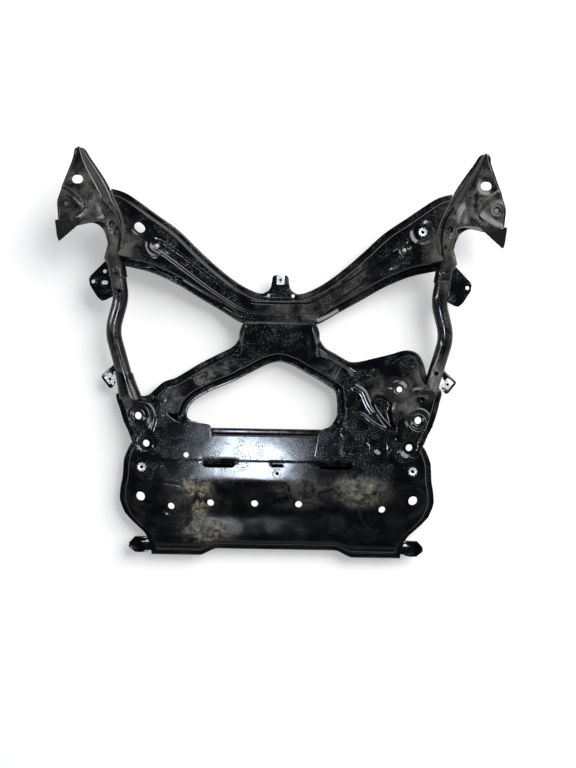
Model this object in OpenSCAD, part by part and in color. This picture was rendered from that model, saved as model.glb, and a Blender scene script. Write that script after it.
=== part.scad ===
// Front suspension subframe of a car: pressed sheet-steel shells welded into box
// sections, two bent side tubes, front horns, brackets, sleeves and fasteners.
// Millimetres. +X is the right-hand side, +Y the front, +Z up. The origin is on the
// ground under the middle of the frame.

/* [Overall] */
// Length from the rear edge of the plate to the tips of the horns
frame_l = 924; // [900:1:960]
// Distance from the centre line to a horn's mounting hole
horn_x = 456; // [448:1:466]
// Distance from the tip of a horn back to its mounting hole
horn_tip_l = 73; // [66:1:80]
// Distance from a horn's mounting hole to the outer edge of the horn
horn_edge = 50; // [44:1:56]

/* [Sheet metal] */
// Thickness of the pressed sheets
sheet_t = 2.5; // [1.8:0.1:3.2]
// Gap left at welded seams and seats
weld_gap = 0.2; // [0.1:0.05:0.3]
// Width of the weld flanges
flange_w = 9; // [7:0.5:11]
// Plan width of a pressed side wall
wall_run = 9; // [7:0.5:11]
// Sheet thickness of the small brackets
bracket_t = 3; // [2:0.1:4]

/* [Heights] */
// Height of the weld plane above the ground
weld_z = 31; // [26:1:36]
// Top of the brace and the rear plate above the ground
deck_z = 60; // [54:1:68]
// Rise of the crossmember from its middle to its ends
arm_rise = 40; // [30:1:48]
// Depth of the crossmember's lower shell
arm_lower_d = 24; // [18:1:27]
// Height of a horn's top face above the top of the arm that it is welded to
horn_step = 24; // [20:1:32]
// Depth of the skirt round a horn
horn_skirt = 18; // [12:1:20]
// Depth of the lip at the lower corner of a horn
horn_lip = 40; // [28:1:46]

/* [Front crossmember] */
// Distance from the centre line to the front corner of an arm's end
arm_end_x = 384; // [376:1:390]
// Length of the level middle of the crossmember, each side of the centre line
arm_level_l = 80; // [70:1:90]
// Front corner of an arm's end, behind the horn tips
arm_front_l = 86; // [78:1:94]
// Width of an arm at its end
arm_end_w = 172; // [160:1:184]
// Front edge of the crossmember at the centre line
throat_y = 147; // [140:1:154]
// Width of the crossmember at the centre line
throat_w = 67; // [62:1:72]
// Width of the pressed channel along the crossmember
bead_w = 30; // [22:1:36]
// Depth of the pressed channel along the crossmember
bead_d = 6; // [3:0.5:9]
// Radius of the larger hole in each arm
arm_hole_r = 9.5; // [7:0.25:12]
// Radius of the smaller hole in each arm
arm_pilot_r = 4.5; // [3:0.25:6]

/* [Rear plate] */
// Length of the rear plate
plate_l = 297; // [285:1:310]
// Half of the plate's greatest width
plate_hw = 367; // [360:1:376]
// Depth of the trough across the plate
trough_d = 12; // [6:0.5:16]
// Length of the two long slots
slot_l = 80; // [60:1:90]
// Width of the two long slots
slot_w = 15; // [10:0.5:18]

/* [Side tubes] */
// Outer diameter of the side tubes
tube_d = 35; // [30:0.5:38]
// Wall of the side tubes
tube_wall = 2.5; // [1.5:0.1:4]
// Centre-line bend radius of the side tubes
bend_r = 95; // [70:1:120]
// Height of a tube's axis at its front end
tube_front_z = 68; // [62:1:72]

/* [Mounting holes] */
// Half width of a horn's mounting slot
horn_hole_r = 9.5; // [7:0.25:11]
// Distance between the end centres of a horn's mounting slot
horn_slot = 5; // [3:0.5:10]
// Bore of the threaded horn bushes
horn_bush_r = 6.5; // [5:0.25:8]
// Bore of the corner sleeves
corner_hole_r = 8.5; // [6:0.25:10]
// Bore of the link sleeves beside the corners
link_hole_r = 8; // [6:0.25:10]
// Bore of the rear body-mount sleeves
body_hole_r = 11; // [8:0.25:13]
// Bore of the steering-gear sleeves
gear_hole_r = 8; // [6:0.25:10]
// Wall of all the sleeves
sleeve_wall = 4; // [2.5:0.25:6]
// Distance from the centre line to the corner sleeves
corner_hole_x = 323; // [317:1:327]
// Distance from the centre line to the link sleeves
link_hole_x = 303; // [294:1:308]
// Distance from the centre line to the body-mount sleeves
body_hole_x = 315; // [306:1:322]
// Distance from the centre line to the outer steering-gear sleeves
gear_outer_x = 244; // [236:1:254]
// Distance from the centre line to the inner steering-gear sleeves
gear_inner_x = 51; // [44:1:60]

/* [Fasteners] */
// Thread radius of the clip nuts and rivet nuts
nut_r = 3; // [2:0.25:4]
// Width of a clip nut
clip_w = 18; // [14:0.5:22]
// Length of a clip nut
clip_l = 22; // [18:0.5:26]

/* [Hidden] */
$fn = 48;
cut = 1;

// Colours of the paint and of the bare zinc fasteners
paint = [0.07, 0.07, 0.08];
zinc = [0.75, 0.76, 0.78];

// Anchor lines and points in plan
front_y = frame_l / 2;
rear_y = -frame_l / 2;
horn_y = front_y - horn_tip_l;
arm_front_y = front_y - arm_front_l;
arm_rear_y = arm_front_y - arm_end_w;
seam_y = throat_y - throat_w;
plate_front_y = rear_y + plate_l;

// Stretch of the waist, between the crossmember and the plate, and of the plate, against
// the lengths that their outlines are drawn for
waist_drawn_l = 245;
waist_k = (seam_y - plate_front_y) / waist_drawn_l;
plate_drawn_l = 297;
plate_k = plate_l / plate_drawn_l;
// A point of the waist, by its distance behind the crossmember
function waist(x, behind) = [x, seam_y - behind * waist_k];

// Flanged threaded inserts
rivet_body_r = nut_r + 2;
rivet_flange_r = nut_r + 5;
rivet_flange_t = 1.2;
rivet_l = 14;

// Heights of the inner faces of the shells
weld_up = weld_z + weld_gap / 2;
weld_down = weld_z - weld_gap / 2;
deck_in = deck_z - sheet_t;
lap_in = deck_z + weld_gap;
lap_d = lap_in - weld_up;
deck_d = deck_in - weld_up;
floor_in = sheet_t;
floor_d = weld_down - floor_in;
wall_in = flange_w + wall_run;

// Smooth step from 0 to 1
function ease(t) = let(u = min(max(t, 0), 1)) u * u * (3 - 2 * u);
// Slope of the smooth step
function ease_slope(t) = let(u = min(max(t, 0), 1)) 6 * u * (1 - u);
function mix(a, b, f) = a + (b - a) * f;
function flip(points) = [for (p = points) [-p.x, p.y]];
function reversed(list) = [for (i = [len(list) - 1 : -1 : 0]) list[i]];
// A half outline mirrored in the centre line, without repeating its first point
function both_sides(half) = concat(flip(reversed(half)), [for (i = [1 : len(half) - 1]) half[i]]);

// Rise of the crossmember's weld surface at a distance from the centre line
function arm_share(x) = (abs(x) - arm_level_l) / (arm_end_x - arm_level_l);
function arm_lift(x) = arm_rise * ease(arm_share(x));
arm_top_z = lap_in + sheet_t + arm_rise;
horn_in_z = arm_top_z + horn_step - sheet_t;

// A smooth curve in plan through rows of points, with a number of steps in each span and
// with heights that run straight from row to row
function between_rows(a, b, c, d, t) =
    0.5 * (2 * b + (c - a) * t + (2 * a - 5 * b + 4 * c - d) * t * t + (3 * b - a - 3 * c + d) * t * t * t);
function smooth(rows, steps) = let(n = len(rows) - 1) concat(
    [for (i = [0 : n - 1]) for (s = [0 : steps - 1])
        let(row = between_rows(rows[max(i - 1, 0)], rows[i], rows[i + 1], rows[min(i + 2, n)], s / steps))
        [for (j = [0 : len(row) - 1])
            [row[j].x, row[j].y, mix(rows[i][j].z, rows[i + 1][j].z, s / steps)]]],
    [rows[n]]
);

// How much longer a row is than the distance square to an edge, at one point of the edge
function skew(edge, i, toward) =
    let(
        t = edge[min(i + 1, len(edge) - 1)] - edge[max(i - 1, 0)],
        d = toward - edge[i]
    )
    min(3, norm(t) * norm(d) / max(abs(t.x * d.y - t.y * d.x), 1));

// One row of a hat section between point i of two edges: flange, wall, top, wall, flange.
// top_z is the inner top, drop_a and drop_b are the wall depths, fl and run the plan
// widths of flange and wall, and mids lists [distance from the middle, height] points.
// wide_a is added to the flange of edge a, and wide_b to the wall of edge b.
function hat_row(edge_a, edge_b, i, top_z, drop_a, drop_b, fl, run, mids, lift_a = 0, lift_b = 0,
                 wide_a = 0, wide_b = 0) =
    let(
        a = edge_a[i],
        b = edge_b[i],
        w = norm(b - a),
        ka = skew(edge_a, i, b),
        kb = skew(edge_b, i, a),
        fa = fl + wide_a,
        rb = run + wide_b,
        steps = concat(
            [[0, top_z - drop_a], [fa * ka, top_z - drop_a],
             [(fa + run / 2) * ka, top_z - drop_a * 0.45], [(fa + run) * ka, top_z]],
            [for (m = mids) [w / 2 + m[0], top_z + m[1]]],
            [[w - (fl + rb) * kb, top_z], [w - (fl + rb / 2) * kb, top_z - drop_b * 0.45],
             [w - fl * kb, top_z - drop_b], [w, top_z - drop_b]]
        )
    )
    [for (s = steps) let(p = mix(a, b, s[0] / w)) [p.x, p.y, s[1] + mix(lift_a, lift_b, s[0] / w)]];

// Normal of a grid of points
function grid_normal(g, i, j) =
    let(
        n = len(g) - 1,
        m = len(g[0]) - 1,
        along = g[min(i + 1, n)][j] - g[max(i - 1, 0)][j],
        across = g[i][min(j + 1, m)] - g[i][max(j - 1, 0)],
        c = cross(along, across)
    )
    c / norm(c);

// A pressed sheet: a grid of points on its inner face, thickened outwards.
// side is 1 for a sheet whose outer face looks up and -1 for one that looks down.
module pressing(g, t, side) {
    n = len(g) - 1;
    m = len(g[0]) - 1;
    s = sign(grid_normal(g, floor(n / 2), floor(m / 2)).z) * side;
    inner = [for (i = [0 : n]) for (j = [0 : m]) g[i][j]];
    outer = [for (i = [0 : n]) for (j = [0 : m]) g[i][j] + s * t * grid_normal(g, i, j)];
    step = m + 1;
    skin = len(inner);
    function quad(a, b, c, d) = s > 0 ? [[a, c, b], [a, d, c]] : [[a, b, c], [a, c, d]];
    faces = [
        for (i = [0 : n - 1]) for (j = [0 : m - 1])
            let(a = i * step + j, b = a + step, c = b + 1, d = a + 1)
            each concat(quad(a + skin, b + skin, c + skin, d + skin), quad(a, d, c, b)),
        for (i = [0 : n - 1])
            let(a = i * step, b = a + step, e = a + m, f = b + m)
            each concat(quad(a, b, b + skin, a + skin), quad(f, e, e + skin, f + skin)),
        for (j = [0 : m - 1])
            let(a = j + 1, b = j, e = n * step + j, f = e + 1)
            each concat(quad(a, b, b + skin, a + skin), quad(e, f, f + skin, e + skin))
    ];
    polyhedron(concat(inner, outer), faces);
}

// A vertical hole through everything between two heights
module drill(x, y, r, z0, z1) {
    translate([x, y, z0]) cylinder(r = r, h = z1 - z0);
}

// A slot with round ends along X
module slot_cut(x, y, l, r, z0, z1) {
    for (s = [-1, 1]) drill(x + s * l / 2, y, r, z0, z1);
    translate([x - l / 2, y - r, z0]) cube([l, 2 * r, z1 - z0]);
}

// A round dished seat pressed into a flat top, with a bolt hole in its floor
seat_r = 22;
seat_d = 4;
module dished_seat(x, y, top_z, hole_r) {
    floor_r = seat_r - 7;
    translate([x, y, top_z]) rotate_extrude() polygon([
        [hole_r, -seat_d], [floor_r, -seat_d], [seat_r - 3, 0], [seat_r, 0],
        [seat_r, -sheet_t], [seat_r - 2, -sheet_t], [floor_r + 1, -seat_d - sheet_t],
        [hole_r, -seat_d - sheet_t]
    ]);
}

// Front crossmember

// Half outlines from the centre line to the right-hand end
arm_front = [
    [0, throat_y], [34, throat_y + 1], [62, throat_y + 6], [104, throat_y + 28],
    [150, throat_y + 63], [193, throat_y + 101], [237, arm_front_y - 87],
    [288, arm_front_y - 52], [352, arm_front_y - 10], [arm_end_x + 6, arm_front_y + 3]
];
arm_rear = [
    [0, seam_y], [45, seam_y], [88, seam_y + 2], [138, seam_y + 30],
    [188, seam_y + 58], [236, seam_y + 86], [278, arm_rear_y - 19],
    [308, arm_rear_y - 9], [332, arm_rear_y - 4], [arm_end_x - 32, arm_rear_y]
];
// Share of the full depth at the rear edge: the shell lies flat on the brace in the middle
arm_rear_drop = [0, 0, 0, 1, 1, 1, 1, 1, 1, 1];
// Share of the full depth of the channel: it runs out before the ends
arm_bead = [1, 1, 1, 1, 1, 1, 0.8, 0, 0, 0];

arm_hole_x = 320;
arm_hole_y = arm_front_y - 88;
arm_pilot_x = 281;
arm_pilot_y = arm_front_y - 127;
// Wide holes in the lower shell give access to those above
arm_access_r = 13;

function arm_rows(upper) =
    let(
        a = both_sides(arm_front),
        b = both_sides(arm_rear),
        drop = concat(reversed(arm_rear_drop), [for (i = [1 : 9]) arm_rear_drop[i]]),
        bead = concat(reversed(arm_bead), [for (i = [1 : 9]) arm_bead[i]])
    )
    [for (i = [0 : len(a) - 1])
        let(
            half = bead_w / 2,
            floor_h = -bead_d * bead[i],
            mids = [[-half, 0], [-half + 5, floor_h], [half - 5, floor_h], [half, 0]]
        )
        upper
        ? hat_row(a, b, i, lap_in, lap_d, lap_d * drop[i], flange_w, wall_run, mids,
                  arm_lift(a[i].x), arm_lift(b[i].x))
        : hat_row(a, b, i, weld_down - arm_lower_d, -arm_lower_d, -arm_lower_d,
                  flange_w, wall_run, [], arm_lift(a[i].x), arm_lift(b[i].x))];

module front_crossmember_upper() {
    color(paint) difference() {
        pressing(smooth(arm_rows(true), 2), sheet_t, 1);
        drill(-arm_hole_x, arm_hole_y, arm_hole_r, weld_z, arm_top_z + cut);
        drill(-arm_pilot_x, arm_pilot_y, arm_pilot_r, weld_z, arm_top_z + cut);
        drill(arm_hole_x, arm_hole_y, rivet_body_r + 1, weld_z, arm_top_z + cut);
        drill(arm_pilot_x, arm_pilot_y, arm_pilot_r, weld_z, arm_top_z + cut);
    }
}

module front_crossmember_lower() {
    color(paint) difference() {
        pressing(smooth(arm_rows(false), 2), sheet_t, -1);
        for (s = [-1, 1]) drill(s * (arm_pilot_x + 8), arm_pilot_y + 8, arm_access_r, -cut, arm_top_z);
        drill(-arm_hole_x - 9, arm_hole_y + 9, 1.5 * arm_access_r, -cut, arm_top_z);
    }
}

// Centre brace: two arms from the crossmember back to the corners

notch_x = 95;
brace_front_mid = [[0, seam_y + 11], [45, seam_y + 11], [78, seam_y + 4], waist(92, 18),
                   waist(notch_x, 38), waist(108, 56)];
brace_rear_mid = [waist(0, 87), waist(28, 94), waist(52, 106), waist(72, 117),
                  waist(86, 124), waist(100, 132)];
brace_front_drop = [0, 0, 0, 0.5, 1, 1];
left_seam = [waist(185, 97), waist(160, 158)];
right_seam = [waist(152, 81), waist(122, 146)];

function brace_rows(upper) =
    let(
        a = concat(flip([left_seam[0], mix(left_seam[0], brace_front_mid[5], 0.5)]),
                   both_sides(brace_front_mid),
                   [mix(right_seam[0], brace_front_mid[5], 0.5), right_seam[0]]),
        b = concat(flip([left_seam[1], mix(left_seam[1], brace_rear_mid[5], 0.5)]),
                   both_sides(brace_rear_mid),
                   [mix(right_seam[1], brace_rear_mid[5], 0.5), right_seam[1]]),
        mid_drop = concat(reversed(brace_front_drop), [for (i = [1 : 5]) brace_front_drop[i]]),
        drop = concat([1, 1], mid_drop, [1, 1]),
        setback = [0, weld_gap + wall_run + 4],
        lower_a = [for (i = [0 : len(a) - 1]) a[i] - setback * (1 - drop[i])]
    )
    [for (i = [0 : len(a) - 1])
        upper
        ? hat_row(a, b, i, deck_in, deck_d * drop[i], deck_d, flange_w, wall_run, [])
        : hat_row(lower_a, b, i, floor_in, -floor_d, -floor_d, flange_w, wall_run, [])];

module centre_brace_upper() {
    color(paint) pressing(smooth(brace_rows(true), 2), sheet_t, 1);
}

module centre_brace_lower() {
    color(paint) pressing(brace_rows(false), sheet_t, -1);
}

// Rear corners: hat sections that carry the tubes and lap over the rear plate

seam_slit = 0.4;
// Outer and inner edges of the left-hand corner, written for the right-hand side
left_outer = [
    left_seam[0], waist(212, 114), waist(240, 131), waist(266, 140),
    waist(286, 157), waist(302, 171), waist(318, 174), waist(334, 174),
    waist(350, 172), waist(364, 170), waist(377, 170), waist(375, 186),
    [368, plate_front_y + 40], [358, plate_front_y + 8], [350, plate_front_y - 8],
    [338, plate_front_y - 26], [322, plate_front_y - 61]
];
left_inner = [
    left_seam[1], waist(176, 167), waist(192, 177), waist(203, 188),
    waist(209, 196), waist(212, 204), waist(214, 211), waist(214, 216),
    waist(213, 220), waist(211, 223), waist(208, 226), [202, plate_front_y + 16],
    [194, plate_front_y + 14], [181, plate_front_y + 12], [167, plate_front_y + 10],
    [155, plate_front_y + 5], [150, plate_front_y - 22]
];
left_outer_drop = [1, 1, 1, 1, 1, 1, 1, 1, 1, 1, 1, 1, 1, 1, 1, 0, 0];
left_inner_drop = [1, 1, 1, 1, 1, 1, 1, 1, 1, 1, 1, 1, 0.5, 0, 0, 0, 0];

right_outer = [
    right_seam[0], waist(166, 87), waist(186, 86), waist(218, 78),
    waist(260, 67), waist(285, 59), waist(306, 58), waist(324, 67),
    waist(336, 88), waist(344, 116), waist(360, 134), waist(378, 151),
    waist(375, 175), [368, plate_front_y + 40], [358, plate_front_y + 8],
    [350, plate_front_y - 8], [338, plate_front_y - 26], [322, plate_front_y - 61]
];
right_inner = [
    right_seam[1], waist(129, 151), waist(134, 159), waist(136, 168),
    waist(137, 177), waist(138, 185), waist(138, 192), waist(138, 199),
    waist(138, 206), waist(137, 212), waist(135, 218), waist(132, 224),
    [128, plate_front_y + 15], [122, plate_front_y + 10], [114, plate_front_y + 6],
    [104, plate_front_y + 2], [94, plate_front_y - 8], [84, plate_front_y - 60]
];
right_outer_drop = concat([1], left_outer_drop);
right_inner_drop = concat([1], left_inner_drop);
// Extra width of the low flange in the valley along the front of the right-hand corner
valley_w = 15;
right_valley = [0, 0.1, 0.5, 1, 1, 1, 0];
// Rows of the lower shells stop in front of the rear plate
left_lower_rows = 14;
right_lower_rows = 15;

corner_hole_y = plate_front_y + 26;
// A small port in the top of the right-hand corner
corner_port = waist(331, 169);
corner_port_r = 5;
link_hole_y = plate_front_y - 37;
// Plan direction that opens the slit between a corner and the brace's end
function seam_shift(seam) =
    let(d = seam[1] - seam[0], side = [-d.y, d.x] / norm(d)) side * seam_slit;

function corner_rows(outer, inner, outer_drop, inner_drop, seam, upper, count, valley = []) =
    let(
        last = count - 1,
        shift = [for (i = [0 : last]) i == 0 ? seam_shift(seam) : [0, 0]],
        clear = [for (i = [0 : last]) upper ? 0 : max(0, plate_front_y + 4 + wall_run - inner[i].y)],
        a = [for (i = [0 : last]) outer[i] + shift[i]],
        b = [for (i = [0 : last]) inner[i] + shift[i] + [clear[i], clear[i]]]
    )
    [for (i = [0 : last])
        upper
        ? hat_row(a, b, i, lap_in, lap_d * outer_drop[i], lap_d * inner_drop[i], flange_w, wall_run, [],
                  wide_a = i < len(valley) ? valley_w * valley[i] : 0)
        : hat_row(a, b, i, floor_in, -floor_d, -floor_d, flange_w, wall_run, [])];

module corner_upper(rows, side) {
    top = lap_in + sheet_t;
    difference() {
        pressing(smooth(rows, 2), sheet_t, 1);
        drill(corner_hole_x, corner_hole_y, seat_r, lap_in - cut, top + cut);
        drill(link_hole_x, link_hole_y, link_hole_r, lap_in - cut, top + cut);
        tube_clearance();
    }
    dished_seat(corner_hole_x, corner_hole_y, top, corner_hole_r);
}

module corner_lower(rows) {
    difference() {
        pressing(rows, sheet_t, -1);
        drill(corner_hole_x, corner_hole_y, corner_hole_r, -cut, weld_z);
        tube_clearance();
    }
}

module left_corner_upper() {
    rows = corner_rows(left_outer, left_inner, left_outer_drop, left_inner_drop, left_seam, true,
                       len(left_outer));
    color(paint) mirror([1, 0, 0]) corner_upper(rows);
}

module left_corner_lower() {
    rows = corner_rows(left_outer, left_inner, left_outer_drop, left_inner_drop, left_seam, false,
                       left_lower_rows);
    color(paint) mirror([1, 0, 0]) corner_lower(rows);
}

module right_corner_upper() {
    rows = corner_rows(right_outer, right_inner, right_outer_drop, right_inner_drop, right_seam, true,
                       len(right_outer), right_valley);
    color(paint) difference() {
        corner_upper(rows);
        drill(corner_port.x, corner_port.y, corner_port_r, lap_in - cut, lap_in + sheet_t + cut);
        drill(pocket_x, pocket_y, pocket_bolt_r, lap_in - cut, lap_in + sheet_t + cut);
    }
}

module right_corner_lower() {
    rows = corner_rows(right_outer, right_inner, right_outer_drop, right_inner_drop, right_seam, false,
                       right_lower_rows);
    color(paint) difference() {
        corner_lower(rows);
        drill(pocket_x + 6, pocket_y, 2.5 * pocket_bolt_r, -cut, weld_z);
    }
}

// Mount pocket: a domed seat welded on the right-hand corner
pocket_x = 276;
pocket_y = seam_y - 148 * waist_k;
pocket_r = 34;
pocket_h = 16;
pocket_bolt_r = 6.5;
module mount_pocket() {
    foot = 8;
    crown_r = 17;
    color(paint) translate([pocket_x, pocket_y, lap_in + sheet_t + weld_gap]) rotate_extrude() polygon([
        [pocket_r, 0], [pocket_r, sheet_t], [pocket_r - foot, sheet_t],
        [crown_r + 3, pocket_h - 2], [crown_r - 1, pocket_h], [pocket_bolt_r, pocket_h],
        [pocket_bolt_r, pocket_h - sheet_t], [crown_r - 2, pocket_h - sheet_t],
        [crown_r, pocket_h - 4], [pocket_r - foot - 2, 0]
    ]);
}

// Rear plate

trough_y = plate_front_y - 135 * plate_k;
plate_notch = 16;
band_step = 6;
plate_rows = [
    // y, half width, share of the depth, step below the deck
    [plate_front_y, plate_hw - 71, 0, 0],
    [plate_front_y - flange_w, plate_hw - 63, 0, 0],
    [plate_front_y - flange_w - wall_run / 2, plate_hw - 55, 0.55, 0],
    [plate_front_y - wall_in, plate_hw - 46, 1, 0],
    [plate_front_y - 40 * plate_k, plate_hw - 23, 1, 0],
    [plate_front_y - 72 * plate_k, plate_hw - 10, 1, 0],
    [plate_front_y - 80 * plate_k, plate_hw - 9, 1, band_step],
    [plate_front_y - 121 * plate_k, plate_hw - 7, 1, band_step],
    [trough_y, plate_hw - 3, 1, trough_d],
    [trough_y - 34 * plate_k, plate_hw, 1, trough_d],
    [trough_y - 66 * plate_k, plate_hw - 13, 1, trough_d],
    [trough_y - 90 * plate_k, plate_hw - 36, 1, trough_d - 5],
    [rear_y + 52, plate_hw - 61, 1, trough_d - 5],
    [rear_y + 33, plate_hw - 70, 1, trough_d - 3],
    [rear_y + wall_in, plate_hw - 74, 0.8, trough_d],
    [rear_y + flange_w + wall_run / 3, plate_hw - 76, 0.3, trough_d],
    [rear_y + flange_w, plate_hw - 77, 0, 0],
    [rear_y, plate_hw - 78, 0, 0]
];
plate_spread = [-1, -0.75, -0.5, -0.25, 0, 0.25, 0.5, 0.75, 1];

// The rear edge is set back in the middle, between the two corners
function rear_setback(x, y) =
    plate_notch * (1 - ease((abs(x) - 135) / 45)) * (1 - ease((y - rear_y) / 60));

function plate_grid(upper) =
    [for (r = plate_rows)
        let(
            hw = r[1],
            inner_hw = hw - wall_in,
            xs = concat([-hw, -hw + flange_w, -hw + flange_w + wall_run / 2],
                        [for (f = plate_spread) f * inner_hw],
                        [hw - flange_w - wall_run / 2, hw - flange_w, hw]),
            top = deck_d * r[2] - r[3],
            rim = concat([0, 0, 0.55], [for (f = plate_spread) 1], [0.55, 0, 0])
        )
        [for (j = [0 : len(xs) - 1])
            let(y = r[0] + rear_setback(xs[j], r[0]))
            [xs[j], y, upper ? weld_up + max(top, 0) * rim[j] : weld_down - floor_d * r[2] * rim[j]]]];

band_top = deck_z - band_step;
trough_top = deck_z - trough_d;
slot_x = 134;
slot_y = plate_front_y - 83 * plate_k;
// Half a slot, straight in front and with a round corner at the rear, and its mirror image
slot_corner = 12;
slot_half = [for (a = [0 : 15 : 90])
    [slot_l / 2 - slot_corner * (1 - cos(a)), slot_w / 2 - slot_w * sin(a)]];
slot_plan = concat(slot_half, flip(reversed(slot_half)));
pip_l = 26;
pip_w = 10;
body_hole_y = trough_y - 25 * plate_k;
gear_outer_y = trough_y - 47 * plate_k;
gear_inner_y = trough_y - 38 * plate_k;
gear_extra_x = 153;
plate_insert_x = 312;
plate_insert_y = plate_front_y - 84 * plate_k - rivet_flange_r;
centre_insert_y = plate_front_y - 102 * plate_k;
drain_x = 210;
drain_y = plate_front_y - 62 * plate_k;
drain_r = 6;

module plate_bolt_holes(z0, z1) {
    for (s = [-1, 1]) {
        drill(s * body_hole_x, body_hole_y, body_hole_r, z0, z1);
        drill(s * link_hole_x, link_hole_y, link_hole_r, z0, z1);
        drill(s * gear_outer_x, gear_outer_y, gear_hole_r, z0, z1);
        drill(s * gear_inner_x, gear_inner_y, gear_hole_r, z0, z1);
    }
    drill(-gear_extra_x, gear_inner_y, gear_hole_r, z0, z1);
    drill(-drain_x, drain_y, drain_r, z0, z1);
}

module rear_plate_upper() {
    color(paint) difference() {
        pressing(plate_grid(true), sheet_t, 1);
        plate_bolt_holes(weld_z, deck_z + cut);
        for (s = [-1, 1]) {
            translate([s * slot_x, slot_y, weld_z]) linear_extrude(deck_z) polygon(slot_plan);
            drill(s * plate_insert_x, plate_insert_y, rivet_body_r + weld_gap, weld_z, deck_z);
        }
        translate([-pip_l / 2, slot_y - pip_w / 2, weld_z]) cube([pip_l, pip_w, deck_z]);
        drill(0, centre_insert_y, rivet_body_r + weld_gap, weld_z, deck_z);
    }
}

module rear_plate_lower() {
    color(paint) difference() {
        pressing(plate_grid(false), sheet_t, -1);
        plate_bolt_holes(-cut, weld_z);
    }
}

// Side tubes

tube_r = tube_d / 2;
tube_front = [arm_end_x - 9, arm_rear_y - 4];
tube_rear = waist(341, 188);
tube_run = tube_front.y - tube_rear.y;
tube_drawn_l = 308;
// Bends: share of the run, offset from the line between the ends
tube_bends = [[0.22, -2.5], [0.47, 27]];
// The tube's axis in plan: front end, two bends, rear end
tube_plan = concat(
    [tube_front],
    [for (b = tube_bends) mix(tube_front, tube_rear, b[0]) + [b[1] * tube_run / tube_drawn_l, 0]],
    [tube_rear]
);
tube_rear_z = weld_z + 4;
tube_tilt = atan((tube_front_z - tube_rear_z) / tube_run);
// The same points in the tilted plane of the tube
tube_path = [for (p = tube_plan) [p.x, (p.y - tube_plan[3].y) / cos(tube_tilt)]];
tube_lean = atan((tube_plan[0].x - tube_plan[1].x) / (tube_plan[0].y - tube_plan[1].y));
function tube_z(y) = tube_rear_z + (y - tube_plan[3].y) * tan(tube_tilt);

module in_tube_plane() {
    translate([0, tube_plan[3].y, tube_rear_z]) rotate([tube_tilt, 0, 0]) children();
}

// Turn of the path at a corner, positive to the left
function turn(a, b, c) =
    let(u = b - a, v = c - b) atan2(u.x * v.y - u.y * v.x, u * v);
function set_back(path, i) = bend_r * tan(abs(turn(path[i - 1], path[i], path[i + 1])) / 2);

module straight(a, b) {
    d = b - a;
    translate([a.x, a.y, 0]) rotate([90, 0, atan2(d.y, d.x) + 90]) linear_extrude(norm(d)) children();
}

// A round profile carried along a path of straights and bends of one radius, each bend
// joined to its straights by short rings that stand a hair proud of both
module bent(r, wall, path) {
    last = len(path) - 1;
    proud = 0.1;
    ring_l = 2;
    for (i = [0 : last - 1]) {
        u = (path[i + 1] - path[i]) / norm(path[i + 1] - path[i]);
        from = path[i] + u * (i == 0 ? 0 : set_back(path, i));
        to = path[i + 1] - u * (i == last - 1 ? 0 : set_back(path, i + 1));
        straight(from, to) ring(r, wall);
        if (i > 0) straight(from - u * ring_l / 2, from + u * ring_l / 2) ring(r + proud, wall + 2 * proud);
        if (i < last - 1) {
            straight(to - u * ring_l / 2, to + u * ring_l / 2) ring(r + proud, wall + 2 * proud);
            swing = turn(path[i], path[i + 1], path[i + 2]);
            side = sign(swing);
            heading = atan2(u.y, u.x);
            centre = to + side * bend_r * [-u.y, u.x];
            translate([centre.x, centre.y, 0]) rotate(heading - side * 90)
                rotate([0, 0, min(swing, 0)])
                rotate_extrude(angle = abs(swing)) translate([bend_r, 0]) ring(r, wall);
        }
    }
}

module ring(r, wall) {
    difference() {
        circle(r);
        if (wall < r) circle(r - wall);
    }
}

module side_tube() {
    in_tube_plane() bent(tube_r, tube_wall, tube_path);
}

// Room for a tube's rear end in the corner that holds it
module tube_clearance() {
    d = tube_path[3] - tube_path[2];
    reach = 20;
    in_tube_plane() straight(tube_path[2] + d * 0.3, tube_path[3] + d / norm(d) * reach)
        circle(tube_r + weld_gap);
}

// A small hole in the upper side of a tube, at a share of one of its straights
tube_hole_r = 5;
module tube_hole(span, f) {
    p = mix(tube_plan[span], tube_plan[span + 1], f);
    drill(p.x, p.y, tube_hole_r, tube_z(p.y), tube_z(p.y) + tube_r + cut);
}

module left_side_tube() {
    color(paint) mirror([1, 0, 0]) difference() {
        side_tube();
        tube_hole(0, 0.8);
    }
}

module right_side_tube() {
    color(paint) difference() {
        side_tube();
        tube_hole(2, 0.52);
    }
}

// A half shell over the rear end of the left-hand tube, in front of its corner
tube_socket_y = seam_y - 146 * waist_k;
tube_socket_l = 20 * waist_k;
module left_tube_socket() {
    d = tube_path[3] - tube_path[2];
    f = ((tube_socket_y - tube_plan[3].y) / cos(tube_tilt) - tube_path[2].y) / d.y;
    from = tube_path[2] + d * f;
    room = tube_r + weld_gap;
    color(paint) mirror([1, 0, 0]) in_tube_plane() straight(from, from + d / norm(d) * tube_socket_l)
        difference() {
            circle(room + sheet_t);
            circle(room);
            translate([-2 * room, -2 * room]) square([4 * room, 2 * room]);
        }
}

// Horns: pressed mounting brackets on the ends of the arms, with necks over the tubes

horn_flange = 4;
horn_run = 6;
socket_l = 22;
arm_seat_z = arm_top_z + weld_gap;
horn_arm_drop = horn_in_z - arm_seat_z;
horn_out_x = horn_x + horn_edge;
horn_bush_x = horn_out_x - 23;
horn_bush_y = horn_y - 52;
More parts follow.
